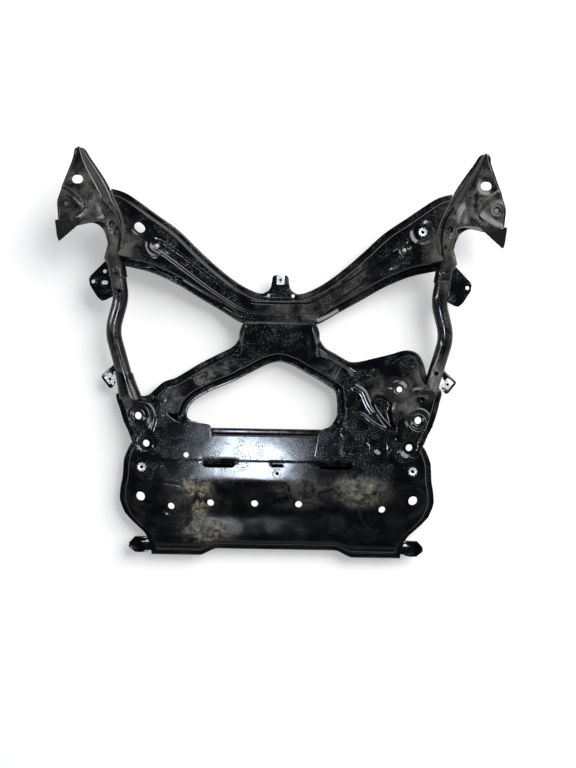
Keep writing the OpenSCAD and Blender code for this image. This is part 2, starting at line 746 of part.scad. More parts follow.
// Rows from the tip to the neck: outer point, inner point, fall of the top, depths of both skirts
horn_rows = [
    [[horn_x + 10, front_y - 1], [horn_x - 12, front_y - 2], 0, 10, 10],
    [[horn_x + 16, front_y - 22], [horn_x - 25, front_y - 21], 0, 14, 14],
    [[horn_x + 27, horn_y + 19], [horn_x - 42, horn_y + 28], 0, horn_skirt, horn_skirt],
    [[horn_out_x - 10, horn_y - 15], [horn_x - 60, horn_y + 1], 0, horn_skirt, horn_skirt],
    [[horn_out_x, horn_y - 45], [arm_end_x + 1, arm_front_y - 8], 0, horn_skirt, horn_arm_drop],
    [[horn_out_x - 1, horn_y - 77], [arm_end_x - 7, arm_front_y - 30], 0, horn_skirt + 4, horn_arm_drop],
    [[horn_out_x - 2, horn_y - 99], [arm_end_x - 13, arm_front_y - 42], 0, horn_lip, horn_arm_drop],
    [[horn_x + 18, horn_y - 98], [arm_end_x - 19, arm_front_y - 56], 0, horn_lip, horn_arm_drop],
    [[horn_x - 12, horn_y - 91], [arm_end_x - 24, arm_front_y - 70], 1, horn_lip - 6, horn_arm_drop - 1],
    [[arm_end_x + 41, arm_front_y - 78], [arm_end_x - 28, arm_front_y - 84], 3, 30, horn_arm_drop - 3],
    [[arm_end_x + 24, arm_front_y - 88], [arm_end_x - 29, arm_front_y - 98], 6, 26, horn_arm_drop - 6],
    [[arm_end_x + 14, arm_front_y - 105], [arm_end_x - 25, arm_front_y - 113], 10, 24, horn_arm_drop - 12],
    [[arm_end_x + 11, arm_front_y - 124], [arm_end_x - 18, arm_front_y - 133], 14, 24, 12]
];

// Extra plan width of the wall along the inner edge, from the tip to where it meets the arm
horn_slope_w = 16;
horn_slope = [0, 0.25, 0.75, 1, 1, 0.6, 0.2];
// The lip at the outer end: a triangle bent down from the top, drawn from its bend
lip_l = 52;
lip_bend = 35;
lip_y = horn_y - 87;
horn_lip_plan = [
    [horn_x - 6, 0], [horn_out_x - 10, 0], [horn_out_x - 2, -8], [horn_out_x - 1, 2 - lip_l],
    [horn_out_x - 7, -lip_l], [horn_x + 22, -27], [horn_x - 6, -3]
];

// A row of the neck: an arch of points round the tube's axis, clear of the tube
function arch_row(y, x, z, r, count) =
    let(apothem = (r / cos(tube_lean) + weld_gap) / cos(90 / (count - 1)))
    [for (j = [0 : count - 1])
        let(a = 180 * j / (count - 1)) [x + apothem * cos(a), y, z + apothem * sin(a)]];

function tube_x(y) =
    mix(tube_plan[0].x, tube_plan[1].x, (y - tube_plan[0].y) / (tube_plan[1].y - tube_plan[0].y));

function horn_grid() =
    let(
        a = [for (r = horn_rows) r[0]],
        b = [for (r = horn_rows) r[1]],
        hats = [for (i = [0 : len(horn_rows) - 1]) let(r = horn_rows[i])
            hat_row(a, b, i, horn_in_z - r[2], r[3], r[4], horn_flange, horn_run, [],
                    wide_b = i < len(horn_slope) ? horn_slope_w * horn_slope[i] : 0)],
        count = len(hats[0]),
        y0 = arm_rear_y + 16,
        y1 = tube_plan[0].y,
        y2 = tube_plan[0].y - socket_l
    )
    concat(
        smooth(hats, 2),
        [arch_row(y0, tube_x(y0) + 3, tube_z(y0) + 9, tube_r + 1, count),
         arch_row(y1, tube_x(y1), tube_z(y1), tube_r, count),
         arch_row(y2, tube_x(y2), tube_z(y2), tube_r, count)]
    );

module horn() {
    difference() {
        union() {
            pressing(horn_grid(), sheet_t, 1);
            translate([0, lip_y, horn_in_z]) rotate([lip_bend, 0, 0])
                linear_extrude(sheet_t - 0.4) polygon(horn_lip_plan);
        }
        slot_cut(horn_x, horn_y, horn_slot, horn_hole_r, horn_in_z - cut, horn_in_z + sheet_t + cut);
        drill(horn_bush_x, horn_bush_y, horn_bush_r + 2, horn_in_z - cut, horn_in_z + sheet_t + cut);
    }
}

module left_horn() {
    color(paint) mirror([1, 0, 0]) horn();
}

module right_horn() {
    color(paint) horn();
}

// Sleeves and bushes

module sleeve(x, y, r, wall, z0, z1) {
    translate([x, y, z0 + weld_gap]) linear_extrude(z1 - z0 - 2 * weld_gap) difference() {
        circle(r + wall);
        circle(r);
    }
}

horn_bush_l = 28;
module horn_bushes() {
    color(paint) for (s = [-1, 1])
        sleeve(s * horn_bush_x, horn_bush_y, horn_bush_r, 6, horn_in_z - horn_bush_l, horn_in_z);
}

module corner_sleeves() {
    seat_under = lap_in - seat_d;
    color(paint) for (s = [-1, 1])
        sleeve(s * corner_hole_x, corner_hole_y, corner_hole_r, sleeve_wall, floor_in, seat_under);
}

module link_sleeves() {
    color(paint) for (s = [-1, 1])
        sleeve(s * link_hole_x, link_hole_y, link_hole_r, sleeve_wall, floor_in, deck_in);
}

module body_mount_sleeves() {
    color(paint) for (s = [-1, 1])
        sleeve(s * body_hole_x, body_hole_y, body_hole_r, sleeve_wall, floor_in, trough_top - sheet_t);
}

module steering_gear_sleeves() {
    top = trough_top - sheet_t;
    color(paint) {
        for (s = [-1, 1]) {
            sleeve(s * gear_outer_x, gear_outer_y, gear_hole_r, sleeve_wall, floor_in, top);
            sleeve(s * gear_inner_x, gear_inner_y, gear_hole_r, sleeve_wall, floor_in, top);
        }
        sleeve(-gear_extra_x, gear_inner_y, gear_hole_r, sleeve_wall, floor_in, top);
    }
}

// Brackets on the side tubes

shield_y = arm_rear_y - 36;
shield_z = tube_z(shield_y) - 6;
shield_hole_r = 4.5;
// Outline of the upper bracket, from the tube outwards
shield_outline = [[370, shield_y + 38], [392, shield_y + 46], [402, shield_y + 49], [436, shield_y + 14],
                  [440, shield_y + 6], [438, shield_y - 8], [420, shield_y - 36], [410, shield_y - 44],
                  [401, shield_y - 42], [370, shield_y - 26]];

module tube_saddle() {
    room = tube_r + weld_gap;
    in_tube_plane() bent(room, room, tube_path);
}

module shield_plate() {
    difference() {
        translate([0, 0, shield_z]) linear_extrude(bracket_t) difference() {
            polygon(shield_outline);
            translate([430, shield_y]) circle(shield_hole_r);
        }
        tube_saddle();
        translate([0, shield_y - 100, shield_z - cut]) cube([arm_end_x - 9, 200, bracket_t + 2 * cut]);
    }
}

module left_shield_bracket() {
    color(paint) mirror([1, 0, 0]) difference() {
        shield_plate();
        drill(404, shield_y + 24, shield_hole_r, shield_z - cut, shield_z + bracket_t + cut);
        slot_cut(404, shield_y - 2, 6, shield_hole_r, shield_z - cut, shield_z + bracket_t + cut);
    }
}

module right_shield_bracket() {
    color(paint) shield_plate();
}

// The lower bracket: a small arm off the tube with a clip nut on its end
clip_y = seam_y - 135 * waist_k;
clip_z = tube_z(clip_y) - 8;
clip_x = 396;
clip_end = clip_x + clip_l / 2 - weld_gap;
clip_outline = [[366, clip_y + 12], [384, clip_y + 37], [clip_end, clip_y + 10], [clip_end, clip_y - 10],
                [clip_x - 10, clip_y - 12], [376, clip_y - 6]];

module clip_bracket() {
    difference() {
        translate([0, 0, clip_z]) linear_extrude(bracket_t) difference() {
            polygon(clip_outline);
            translate([clip_x, clip_y]) circle(nut_r + 1);
        }
        tube_saddle();
        translate([0, clip_y - 100, clip_z - cut]) cube([366, 200, bracket_t + 2 * cut]);
    }
}

module left_clip_bracket() {
    color(paint) mirror([1, 0, 0]) clip_bracket();
}

module right_clip_bracket() {
    color(paint) clip_bracket();
}

// Tab on the middle of the crossmember's front flange
tab_z = weld_up + sheet_t + weld_gap;
tab_top_y = throat_y + 29;
tab_nut_y = tab_top_y + weld_gap - clip_l / 2;
module centre_tab() {
    color(paint) difference() {
        translate([0, 0, tab_z]) linear_extrude(bracket_t) difference() {
            polygon(both_sides([
                [0, throat_y - 6], [42, throat_y - 5], [46, throat_y + 2], [30, throat_y + 6],
                [24, throat_y + 16], [20, tab_top_y - 3], [15, tab_top_y], [0, tab_top_y]
            ]));
            translate([0, tab_nut_y]) circle(nut_r + 1);
        }
    }
}

// Tabs at the rear corners, under the plate's flange
rear_tab_x = plate_hw - 53;
rear_tab_y = rear_y + 32;
module rear_tab() {
    end_r = 15;
    root_x = plate_hw - 80;
    z = weld_down - sheet_t - weld_gap - bracket_t;
    translate([0, 0, z]) linear_extrude(bracket_t) difference() {
        union() {
            translate([rear_tab_x, rear_tab_y]) circle(end_r);
            polygon([[rear_tab_x, rear_tab_y - end_r], [rear_tab_x, rear_tab_y + end_r],
                     [root_x + 11, rear_tab_y + end_r], [root_x, rear_tab_y - end_r]]);
        }
        translate([rear_tab_x, rear_tab_y]) circle(shield_hole_r);
    }
}

module left_rear_tab() {
    color(paint) mirror([1, 0, 0]) rear_tab();
}

module right_rear_tab() {
    color(paint) rear_tab();
}

// Clip nuts: folded spring clips with a threaded barrel
clip_t = 1.2;
module clip_nut(plate_t) {
    inside = plate_t + 2 * weld_gap;
    difference() {
        union() {
            for (z = [plate_t + weld_gap, -weld_gap - clip_t])
                translate([-clip_w / 2, -clip_l / 2, z]) cube([clip_w, clip_l, clip_t]);
            translate([-clip_w / 2, clip_l / 2, -weld_gap - clip_t])
                cube([clip_w, clip_t, inside + 2 * clip_t]);
            translate([0, 0, -weld_gap - clip_t - 6]) cylinder(r = nut_r + 2.5, h = 6 + clip_t / 2);
        }
        translate([0, 0, -10]) cylinder(r = nut_r, h = 30);
    }
}

module clip_nuts() {
    color(zinc) {
        translate([0, tab_nut_y, tab_z]) clip_nut(bracket_t);
        for (s = [-1, 1]) translate([s * clip_x, clip_y, clip_z]) rotate(-s * 90) clip_nut(bracket_t);
    }
}

// Rivet nuts: flanged threaded inserts
module rivet_nut() {
    translate([0, 0, weld_gap]) difference() {
        union() {
            cylinder(r = rivet_flange_r, h = rivet_flange_t);
            translate([0, 0, -rivet_l]) cylinder(r = rivet_body_r, h = rivet_l + rivet_flange_t / 2);
        }
        translate([0, 0, -rivet_l - cut]) cylinder(r = nut_r, h = rivet_l + rivet_flange_t + 2 * cut);
    }
}

module rivet_nuts() {
    arm_slope = atan(arm_rise / (arm_end_x - arm_level_l) * ease_slope(arm_share(arm_hole_x)));
    color(zinc) {
        for (s = [-1, 1]) translate([s * plate_insert_x, plate_insert_y, band_top]) rivet_nut();
        translate([0, centre_insert_y, band_top]) rivet_nut();
        translate([arm_hole_x, arm_hole_y, lap_in + sheet_t + arm_lift(arm_hole_x) + 2 * weld_gap])
            rotate([0, -arm_slope, 0]) rivet_nut();
    }
}

front_crossmember_upper();
front_crossmember_lower();
centre_brace_upper();
centre_brace_lower();
left_corner_upper();
left_corner_lower();
right_corner_upper();
right_corner_lower();
rear_plate_upper();
rear_plate_lower();
left_horn();
right_horn();
left_side_tube();
right_side_tube();
left_tube_socket();
left_shield_bracket();
right_shield_bracket();
left_clip_bracket();
right_clip_bracket();
centre_tab();
left_rear_tab();
right_rear_tab();
horn_bushes();
corner_sleeves();
link_sleeves();
body_mount_sleeves();
steering_gear_sleeves();
clip_nuts();
rivet_nuts();
mount_pocket();
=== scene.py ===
"""Dresses a welded car subframe: pressed black shells, bent tubes, welds, dust and zinc fasteners.

Plan sizes and heights are in millimetres, as the solids have them: +X to the right-hand side,
+Y to the front, +Z up, with the ground at zero. Meshes are written in metres.
"""
import logging
import math
from dataclasses import dataclass
from enum import Enum
from typing import Iterable, Optional, Protocol, Sequence

import bmesh
import bpy
import numpy as np
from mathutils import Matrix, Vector


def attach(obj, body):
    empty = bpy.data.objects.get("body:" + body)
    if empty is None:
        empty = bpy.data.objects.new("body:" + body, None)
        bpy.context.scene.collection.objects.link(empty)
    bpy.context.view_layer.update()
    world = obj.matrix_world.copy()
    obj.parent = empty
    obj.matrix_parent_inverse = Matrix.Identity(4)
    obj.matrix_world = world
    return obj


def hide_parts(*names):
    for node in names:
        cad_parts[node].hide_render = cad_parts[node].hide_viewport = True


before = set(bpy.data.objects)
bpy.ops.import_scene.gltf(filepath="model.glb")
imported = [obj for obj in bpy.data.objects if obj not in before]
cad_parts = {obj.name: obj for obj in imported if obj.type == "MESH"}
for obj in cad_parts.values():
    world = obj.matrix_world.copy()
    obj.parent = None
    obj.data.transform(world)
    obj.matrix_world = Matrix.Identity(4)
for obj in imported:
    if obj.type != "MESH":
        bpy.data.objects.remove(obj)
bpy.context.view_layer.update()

log = logging.getLogger("subframe")
logging.basicConfig(level=logging.INFO, format="%(name)s: %(message)s")

MM = 0.001
BOTH = (-1, 1)
CUT_SIDES = 48
BELOW_ALL, ABOVE_ALL = -20.0, 200.0

Array = np.ndarray
Object = bpy.types.Object
Material = bpy.types.Material
Tree = bpy.types.NodeTree
Socket = bpy.types.NodeSocket
Point = tuple[float, float]
Triple = tuple[float, float, float]


class Side(Enum):
    """Which side of the centre line a piece is on."""

    LEFT = -1
    RIGHT = 1

    @property
    def label(self) -> str:
        """How the names of pieces begin on this side."""
        return self.name.lower()


class Face(Enum):
    """Which way the outer face of a pressed sheet looks."""

    UP = 1
    DOWN = -1


class Slot(Enum):
    """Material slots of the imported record."""

    PAINT = "black_paint"
    ZINC = "zinc"


@dataclass(frozen=True)
class FrameSizes:
    """Driving sizes and the lines that follow from them, as the solids have them."""

    front_y: float = 462.0
    rear_y: float = -462.0
    sheet: float = 2.5
    gap: float = 0.2
    flange: float = 9.0
    run: float = 9.0
    weld_z: float = 31.0
    deck_z: float = 60.0
    arm_rise: float = 40.0
    arm_lower_d: float = 24.0
    arm_end_x: float = 384.0
    arm_level_l: float = 80.0
    arm_front_y: float = 376.0
    arm_rear_y: float = 204.0
    throat_y: float = 147.0
    seam_y: float = 80.0
    horn_x: float = 456.0
    horn_y: float = 389.0
    horn_out_x: float = 506.0
    horn_top_z: float = 126.7
    plate_front_y: float = -165.0
    plate_hw: float = 367.0
    trough_y: float = -300.0
    tube_r: float = 17.5
    tube_wall: float = 2.5
    bend_r: float = 95.0
    tube_front_z: float = 68.0

    @property
    def weld_up(self) -> float:
        """Inner height of an upper shell's flange."""
        return self.weld_z + self.gap / 2

    @property
    def weld_down(self) -> float:
        """Inner height of a lower shell's flange."""
        return self.weld_z - self.gap / 2

    @property
    def lap_z(self) -> float:
        """Outer top of the shells that lap over the deck."""
        return self.deck_z + self.gap + self.sheet

    @property
    def arm_top_z(self) -> float:
        """Outer top of the crossmember at its raised ends."""
        return self.lap_z + self.arm_rise

    @property
    def bush(self) -> Point:
        """Place of the bush in the right-hand horn."""
        return (self.horn_out_x - 23, self.horn_y - 52)


SIZES = FrameSizes()


def ease(t: Array) -> Array:
    """Smooth step from 0 to 1.

    Args:
        t: Where along the step, clamped to 0 and 1.

    Returns:
        The eased share.
    """
    u = np.clip(t, 0.0, 1.0)
    return u * u * (3.0 - 2.0 * u)


def spline(points: Sequence[Sequence[float]], steps: int) -> Array:
    """Smooth curve through points, with a number of steps in each span.

    Args:
        points: Points of the curve, in any number of dimensions.
        steps: Steps in each span.

    Returns:
        The curve's points, the given ones among them.
    """
    p = np.asarray(points, float)
    last = len(p) - 1
    i = np.repeat(np.arange(last), steps)
    t = np.tile(np.arange(steps) / steps, last)[:, None]
    a, b = p[np.maximum(i - 1, 0)], p[i]
    c, d = p[i + 1], p[np.minimum(i + 2, last)]
    curve = 0.5 * (
        2 * b + (c - a) * t + (2 * a - 5 * b + 4 * c - d) * t**2 + (3 * b - a - 3 * c + d) * t**3
    )
    return np.vstack([curve, p[last:]])


def between(values: Sequence[float], steps: int) -> Array:
    """Values that run straight from one row to the next, in the steps that spline takes."""
    rows = np.arange(len(values))
    return np.interp(np.arange((len(values) - 1) * steps + 1) / steps, rows, values)


def flip(points: Iterable[Sequence[float]]) -> list[Point]:
    """Points mirrored in the centre line."""
    return [(-p[0], p[1]) for p in points]


def both_sides(half: Sequence[Sequence[float]]) -> list[Point]:
    """A half outline and its mirror image, without repeating the first point."""
    return flip(list(half)[::-1]) + [tuple(p) for p in half[1:]]


def mirrored(values: Sequence[float]) -> tuple[float, ...]:
    """Values from the centre line outwards, and before them their mirror image."""
    return (*values[::-1], *values[1:])


def path_distance(x: Array, y: Array, path: Array) -> Array:
    """Distance of points in plan from a polyline.

    Args:
        x: Coordinates of the points.
        y: Coordinates of the points.
        path: Points of the polyline.

    Returns:
        The distances, shaped as x.
    """
    best = np.full(x.shape, np.inf)
    for (ax, ay), (bx, by) in zip(path[:-1], path[1:]):
        dx, dy = bx - ax, by - ay
        t = np.clip(((x - ax) * dx + (y - ay) * dy) / max(dx * dx + dy * dy, 1e-9), 0, 1)
        best = np.minimum(best, np.hypot(x - ax - t * dx, y - ay - t * dy))
    return best


def inside(x: Array, y: Array, outline: Array) -> Array:
    """Which points lie inside a closed outline, given without its first point repeated.

    Args:
        x: Coordinates of the points.
        y: Coordinates of the points.
        outline: Points of the outline.

    Returns:
        Whether each point is inside.
    """
    found = np.zeros(x.shape, bool)
    for (ax, ay), (bx, by) in zip(outline, np.roll(outline, -1, axis=0)):
        crosses = (ay > y) != (by > y)
        rise = by - ay if abs(by - ay) > 1e-9 else 1e-9
        found ^= crosses & (x < (bx - ax) * (y - ay) / rise + ax)
    return found


class Relief(Protocol):
    """Something pressed into a sheet."""

    def height(self, x: Array, y: Array) -> Array:
        """How far it lifts the sheet at points in plan."""


@dataclass(frozen=True)
class Dish:
    """A round dish with a flat floor, or a round pad if its depth is negative."""

    x: float
    y: float
    r: float
    depth: float
    run: float = 6.0

    def height(self, x: Array, y: Array) -> Array:
        """How far it lifts the sheet at points in plan."""
        return -self.depth * ease((self.r - np.hypot(x - self.x, y - self.y)) / self.run)


@dataclass(frozen=True)
class Ring:
    """A round bead, whole or along part of the circle."""

    x: float
    y: float
    r: float
    width: float
    rise: float
    start: float = 0.0
    sweep: float = 360.0
    fade_deg: float = 12.0

    def height(self, x: Array, y: Array) -> Array:
        """How far it lifts the sheet at points in plan.

        Args:
            x: Places in plan.
            y: Places in plan.

        Returns:
            The lift at each place.
        """
        d = np.abs(np.hypot(x - self.x, y - self.y) - self.r)
        turn = np.degrees(np.arctan2(y - self.y, x - self.x)) - self.start
        past = np.abs((turn - self.sweep / 2 + 180) % 360 - 180) - self.sweep / 2
        fade = 1.0 if self.sweep >= 360 else ease(1 - past / self.fade_deg)
        return self.rise * fade * ease(1 - 2 * d / self.width)


@dataclass(frozen=True)
class Bead:
    """A rounded bead along a smooth path, or a groove if its rise is negative."""

    path: tuple[Point, ...]
    width: float
    rise: float
    steps: int = 8

    def height(self, x: Array, y: Array) -> Array:
        """How far it lifts the sheet at points in plan."""
        d = path_distance(x, y, spline(self.path, self.steps))
        return self.rise * ease(1 - 2 * d / self.width)


@dataclass(frozen=True)
class Pocket:
    """A flat-floored recess inside a rounded outline, or a pad if its depth is negative."""

    outline: tuple[Point, ...]
    depth: float
    run: float = 8.0
    steps: int = 6

    def height(self, x: Array, y: Array) -> Array:
        """How far it lifts the sheet at points in plan.

        Args:
            x: Places in plan.
            y: Places in plan.

        Returns:
            The lift at each place.
        """
        ring = spline(list(self.outline) + [self.outline[0]], self.steps)[:-1]
        closed = np.vstack([ring, ring[:1]])
        d = path_distance(x, y, closed) * np.where(inside(x, y, ring), 1.0, -1.0)
        return -self.depth * ease(0.5 + d / self.run)


@dataclass(frozen=True)
class Louvre:
    """A sheet that slopes down to the front edge of a long slot."""

    x: float
    y: float
    width: float
    reach: float
    depth: float
    fade: float = 7.0
    behind: float = 5.0

    def height(self, x: Array, y: Array) -> Array:
        """How far it lifts the sheet at points in plan.

        Args:
            x: Places in plan.
            y: Places in plan.

        Returns:
            The lift at each place.
        """
        across = ease((self.width / 2 + self.fade - np.abs(x - self.x)) / self.fade)
        along = ease(1 - (y - self.y) / self.reach) * (y > self.y - self.behind)
        return -self.depth * across * along


@dataclass(frozen=True)
class Cut:
    """An outline in plan between two heights: a hole, or a flat piece."""

    outline: tuple[Point, ...]
    z0: float = BELOW_ALL
    z1: float = ABOVE_ALL

    @staticmethod
    def circle(x: float, y: float, r: float, z0: float = BELOW_ALL, z1: float = ABOVE_ALL) -> "Cut":
        """A round hole."""
        turn = np.linspace(0, 2 * math.pi, CUT_SIDES, endpoint=False)
        return Cut(tuple((x + r * math.cos(a), y + r * math.sin(a)) for a in turn), z0, z1)

    @staticmethod
    def slot(x: float, y: float, length: float, r: float, angle: float = 0.0) -> "Cut":
        """A hole with round ends.

        Args:
            x: Place of the middle.
            y: Place of the middle.
            length: Distance between the centres of the ends.
            r: Radius of the ends.
            angle: Turn from the X axis, in degrees.

        Returns:
            The cut.
        """
        points = []
        for k in range(CUT_SIDES):
            a = 2 * math.pi * (k + 0.5) / CUT_SIDES
            end = math.copysign(length / 2, math.cos(a))
            points.append((r * math.cos(a) + end, r * math.sin(a)))
        return Cut(turned_plan(points, (x, y), angle))


def turned_plan(points: Iterable[Point], at: Point, degrees: float) -> tuple[Point, ...]:
    """Plan points turned about the origin and then moved to a place."""
    c, s = math.cos(math.radians(degrees)), math.sin(math.radians(degrees))
    return tuple((at[0] + x * c - y * s, at[1] + x * s + y * c) for x, y in points)


def mesh_object(name: str, verts: Array, faces: Sequence[Sequence[int]]) -> Object:
    """Links a new mesh object.

    Args:
        name: Name of the object.
        verts: Points in millimetres.
        faces: Corner indices of each face.

    Returns:
        The object, at the origin.
    """
    mesh = bpy.data.meshes.new(name)
    mesh.from_pydata((np.asarray(verts) * MM).tolist(), [], faces)
    mesh.update()
    obj = bpy.data.objects.new(name, mesh)
    bpy.context.scene.collection.objects.link(obj)
    return obj


def prism_mesh(name: str, cuts: Sequence[Cut]) -> Object:
    """One object with a closed prism for each cut.

    Args:
        name: Name of the object.
        cuts: Outline and heights of each prism.

    Returns:
        The object.
    """
    verts: list[Triple] = []
    faces: list[list[int]] = []
    for cut in cuts:
        n, first = len(cut.outline), len(verts)
        verts += [(x, y, cut.z0) for x, y in cut.outline] + [(x, y, cut.z1) for x, y in cut.outline]
        faces.append([first + k for k in range(n)][::-1])
        faces.append([first + n + k for k in range(n)])
        for k in range(n):
            m = (k + 1) % n
            faces.append([first + k, first + m, first + n + m, first + n + k])
    return mesh_object(name, np.array(verts), faces)


def grid_faces(rows: int, cols: int, first: int, turned: bool, close: bool = False) -> Array:
    """Quads of a grid of points.

    Args:
        rows: Rows of points.
        cols: Points in each row.
        first: Index of the first point.
        turned: Whether the faces look the other way.
        close: Whether the last column joins the first.

    Returns:
        The corner indices.
    """
    i, j = np.meshgrid(np.arange(rows - 1), np.arange(cols if close else cols - 1), indexing="ij")
    k = (j + 1) % cols
    quad = np.stack([i * cols + j, (i + 1) * cols + j, (i + 1) * cols + k, i * cols + k], -1)
    quad = quad.reshape(-1, 4) + first
    return quad[:, ::-1] if turned else quad


def sheet_object(name: str, outer: Array, thickness: float, face: Face) -> Object:
    """A sheet of even thickness from the grid of its outer face.

    Args:
        name: Name of the object.
        outer: Points of the outer face, rows by columns.
        thickness: Thickness of the sheet.
        face: Which way the outer face looks.

    Returns:
        The object, a closed shell.
    """
    rows, cols = outer.shape[:2]
    inner = outer - np.array([0, 0, thickness * face.value])
    count = rows * cols
    r, c = rows // 2, cols // 2
    normal_z = np.cross(outer[r + 1, c] - outer[r, c], outer[r, c + 1] - outer[r, c])[2]
    turned = normal_z * face.value < 0
    skin = grid_faces(rows, cols, 0, turned)
    back = grid_faces(rows, cols, count, not turned)
    index = np.arange(count).reshape(rows, cols)
    edge = np.concatenate([index[:, 0], index[-1, 1:], index[-2::-1, -1], index[0, -2:0:-1]])
    after = np.roll(edge, -1)
    rim = np.stack([edge, edge + count, after + count, after], -1)
    rim = rim[:, ::-1] if turned else rim
    verts = np.concatenate([outer.reshape(-1, 3), inner.reshape(-1, 3)])
    return mesh_object(name, verts, np.concatenate([skin, back, rim]).tolist())


def apply_modifiers(obj: Object) -> None:
    """Turns an object's modifiers into its plain mesh.

    Args:
        obj: The object.
    """
    graph = bpy.context.evaluated_depsgraph_get()
    made = bpy.data.meshes.new_from_object(obj.evaluated_get(graph), depsgraph=graph)
    old = obj.data
    obj.modifiers.clear()
    obj.data = made
    made.name = obj.name
    bpy.data.meshes.remove(old)


def cut_holes(obj: Object, cutters: Sequence[Object]) -> None:
    """Takes cutters out of a piece and removes them.

    Args:
        obj: The piece.
        cutters: Closed objects.
    """
    for cutter in cutters:
        hole = obj.modifiers.new("holes", "BOOLEAN")
        hole.operation = "DIFFERENCE"
        hole.solver = "MANIFOLD"
        hole.object = cutter
    apply_modifiers(obj)
    for cutter in cutters:
        mesh = cutter.data
        bpy.data.objects.remove(cutter)
        bpy.data.meshes.remove(mesh)


def smooth_faces(obj: Object, sharp_deg: float = 38.0) -> None:
    """Shades a piece smooth, apart from edges that turn more than an angle.

    Args:
        obj: The piece.
        sharp_deg: The angle, in degrees.
    """
    bm = bmesh.new()
    bm.from_mesh(obj.data)
    limit = math.radians(sharp_deg)
    for edge in bm.edges:
        edge.smooth = len(edge.link_faces) == 2 and edge.calc_face_angle(0.0) < limit
    for face in bm.faces:
        face.smooth = True
    bm.to_mesh(obj.data)
    bm.free()


def pressing(name: str, outer: Array, face: Face, cuts: Sequence[Cut] = (),
             cutters: Sequence[Object] = (), thickness: float = SIZES.sheet) -> Object:
    """A pressed sheet with its holes.

    Args:
        name: Name of the object.
        outer: Points of the outer face, rows by columns.
        face: Which way the outer face looks.
        cuts: Holes that go straight through.
        cutters: Objects that are taken out of the sheet.
        thickness: Thickness of the sheet.

    Returns:
        The object, shaded smooth.
    """
    obj = sheet_object(name, outer, thickness, face)
    tools = list(cutters)
    if cuts:
        tools.append(prism_mesh(name + "_holes", cuts))
    if tools:
        cut_holes(obj, tools)
    smooth_faces(obj)
    return obj


def dress(obj: Object, material: Material, *nodes: str, slot: Slot = Slot.PAINT) -> None:
    """Finishes a piece: its material, the body it rides on and the nodes it stands for.

    Args:
        obj: The piece.
        material: Its finish.
        nodes: Nodes that it replaces.
        slot: Slot of the record; not used.
    """
    obj.data.materials.clear()
    obj.data.materials.append(material)
    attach(obj, "root")
    if nodes:
        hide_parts(*nodes)
    obj.data.calc_loop_triangles()
    log.info("%s: %d triangles", obj.name, len(obj.data.loop_triangles))


def linear(hex_colour: str) -> tuple[float, float, float, float]:
    """Turns an sRGB hex colour to linear.

    Args:
        hex_colour: Six hex digits after a hash mark.

    Returns:
        Linear red, green, blue and an alpha of 1.
    """
    parts = [int(hex_colour[k:k + 2], 16) / 255 for k in (1, 3, 5)]
    return (*[c / 12.92 if c <= 0.04045 else ((c + 0.055) / 1.055) ** 2.4 for c in parts], 1.0)


def add_node(tree: Tree, kind: str, settings: Optional[dict] = None,
             **inputs: object) -> bpy.types.Node:
    """Adds a node with its settings and links.

    Args:
        tree: Tree that takes the node.
        kind: Type of the node.
        settings: Properties of the node.
        inputs: Value or linked socket of each input. A name's underscores stand for spaces, and
            a name such as in_1 gives the input's number.

    Returns:
        The node.
    """
    node = tree.nodes.new(kind)
    for key, value in (settings or {}).items():
        setattr(node, key, value)
    for key, value in inputs.items():
        number = key.startswith("in_")
        socket = node.inputs[int(key[3:])] if number else node.inputs[key.replace("_", " ")]
        if isinstance(value, Socket):
            tree.links.new(value, socket)
        else:
            socket.default_value = value
    return node


@dataclass(frozen=True)
class DirtAndGlowPatch:
    """Dried mud or dust, or a painted glow on the floor: a soft ball that is stretched upright."""

    x: float
    y: float
    r: float
    amount: float
    wide: float = 1.0
    upright: float = 0.2
    core: float = 0.3


@dataclass(frozen=True)
class Ramp:
    """A range of values, and the range that it is turned to."""

    low: float = 0.0
    high: float = 1.0
    to_low: float = 0.0
    to_high: float = 1.0

    def inputs(self, value: Socket) -> dict[str, object]:
        """What a map range node needs to turn a value."""
        return {"Value": value, "From_Min": self.low, "From_Max": self.high,
                "To_Min": self.to_low, "To_Max": self.to_high}


@dataclass(frozen=True)
class Pattern:
    """A noise whose features are about a size across."""

    size_mm: float
    detail: float
    roughness: float = 0.5
    distortion: float = 0.0

    def inputs(self, where: Socket) -> dict[str, object]:
        """What a noise texture node needs at a place."""
        return {"Vector": where, "Scale": 1 / (self.size_mm * MM), "Detail": self.detail,
                "Roughness": self.roughness, "Distortion": self.distortion}


SMOOTH = {"interpolation_type": "SMOOTHSTEP"}
MAXIMUM = {"operation": "MAXIMUM"}
MULTIPLY = {"operation": "MULTIPLY"}
COLOURS = {"data_type": "RGBA"}


def new_material(name: str) -> tuple[Material, Tree, bpy.types.Node]:
    """A new material with nodes.

    Args:
        name: Name of the material.

    Returns:
        The material, its node tree and its shader.
    """
    material = bpy.data.materials.new(name)
    material.use_nodes = True
    return material, material.node_tree, material.node_tree.nodes["Principled BSDF"]


def chain(tree: Tree, kind: str, settings: dict, first: object, *others: object) -> Socket:
    """Adds nodes in a row, each of which joins one more value to what is there.

    Args:
        tree: Tree that takes the nodes.
        kind: Type of the nodes, which have two inputs.
        settings: Properties of the nodes.
        first: A value or a socket.
        others: The values or sockets that are joined to it.

    Returns:
        The last node's socket.
    """
    for other in others:
        first = add_node(tree, kind, settings, in_0=first, in_1=other).outputs[0]
    return first


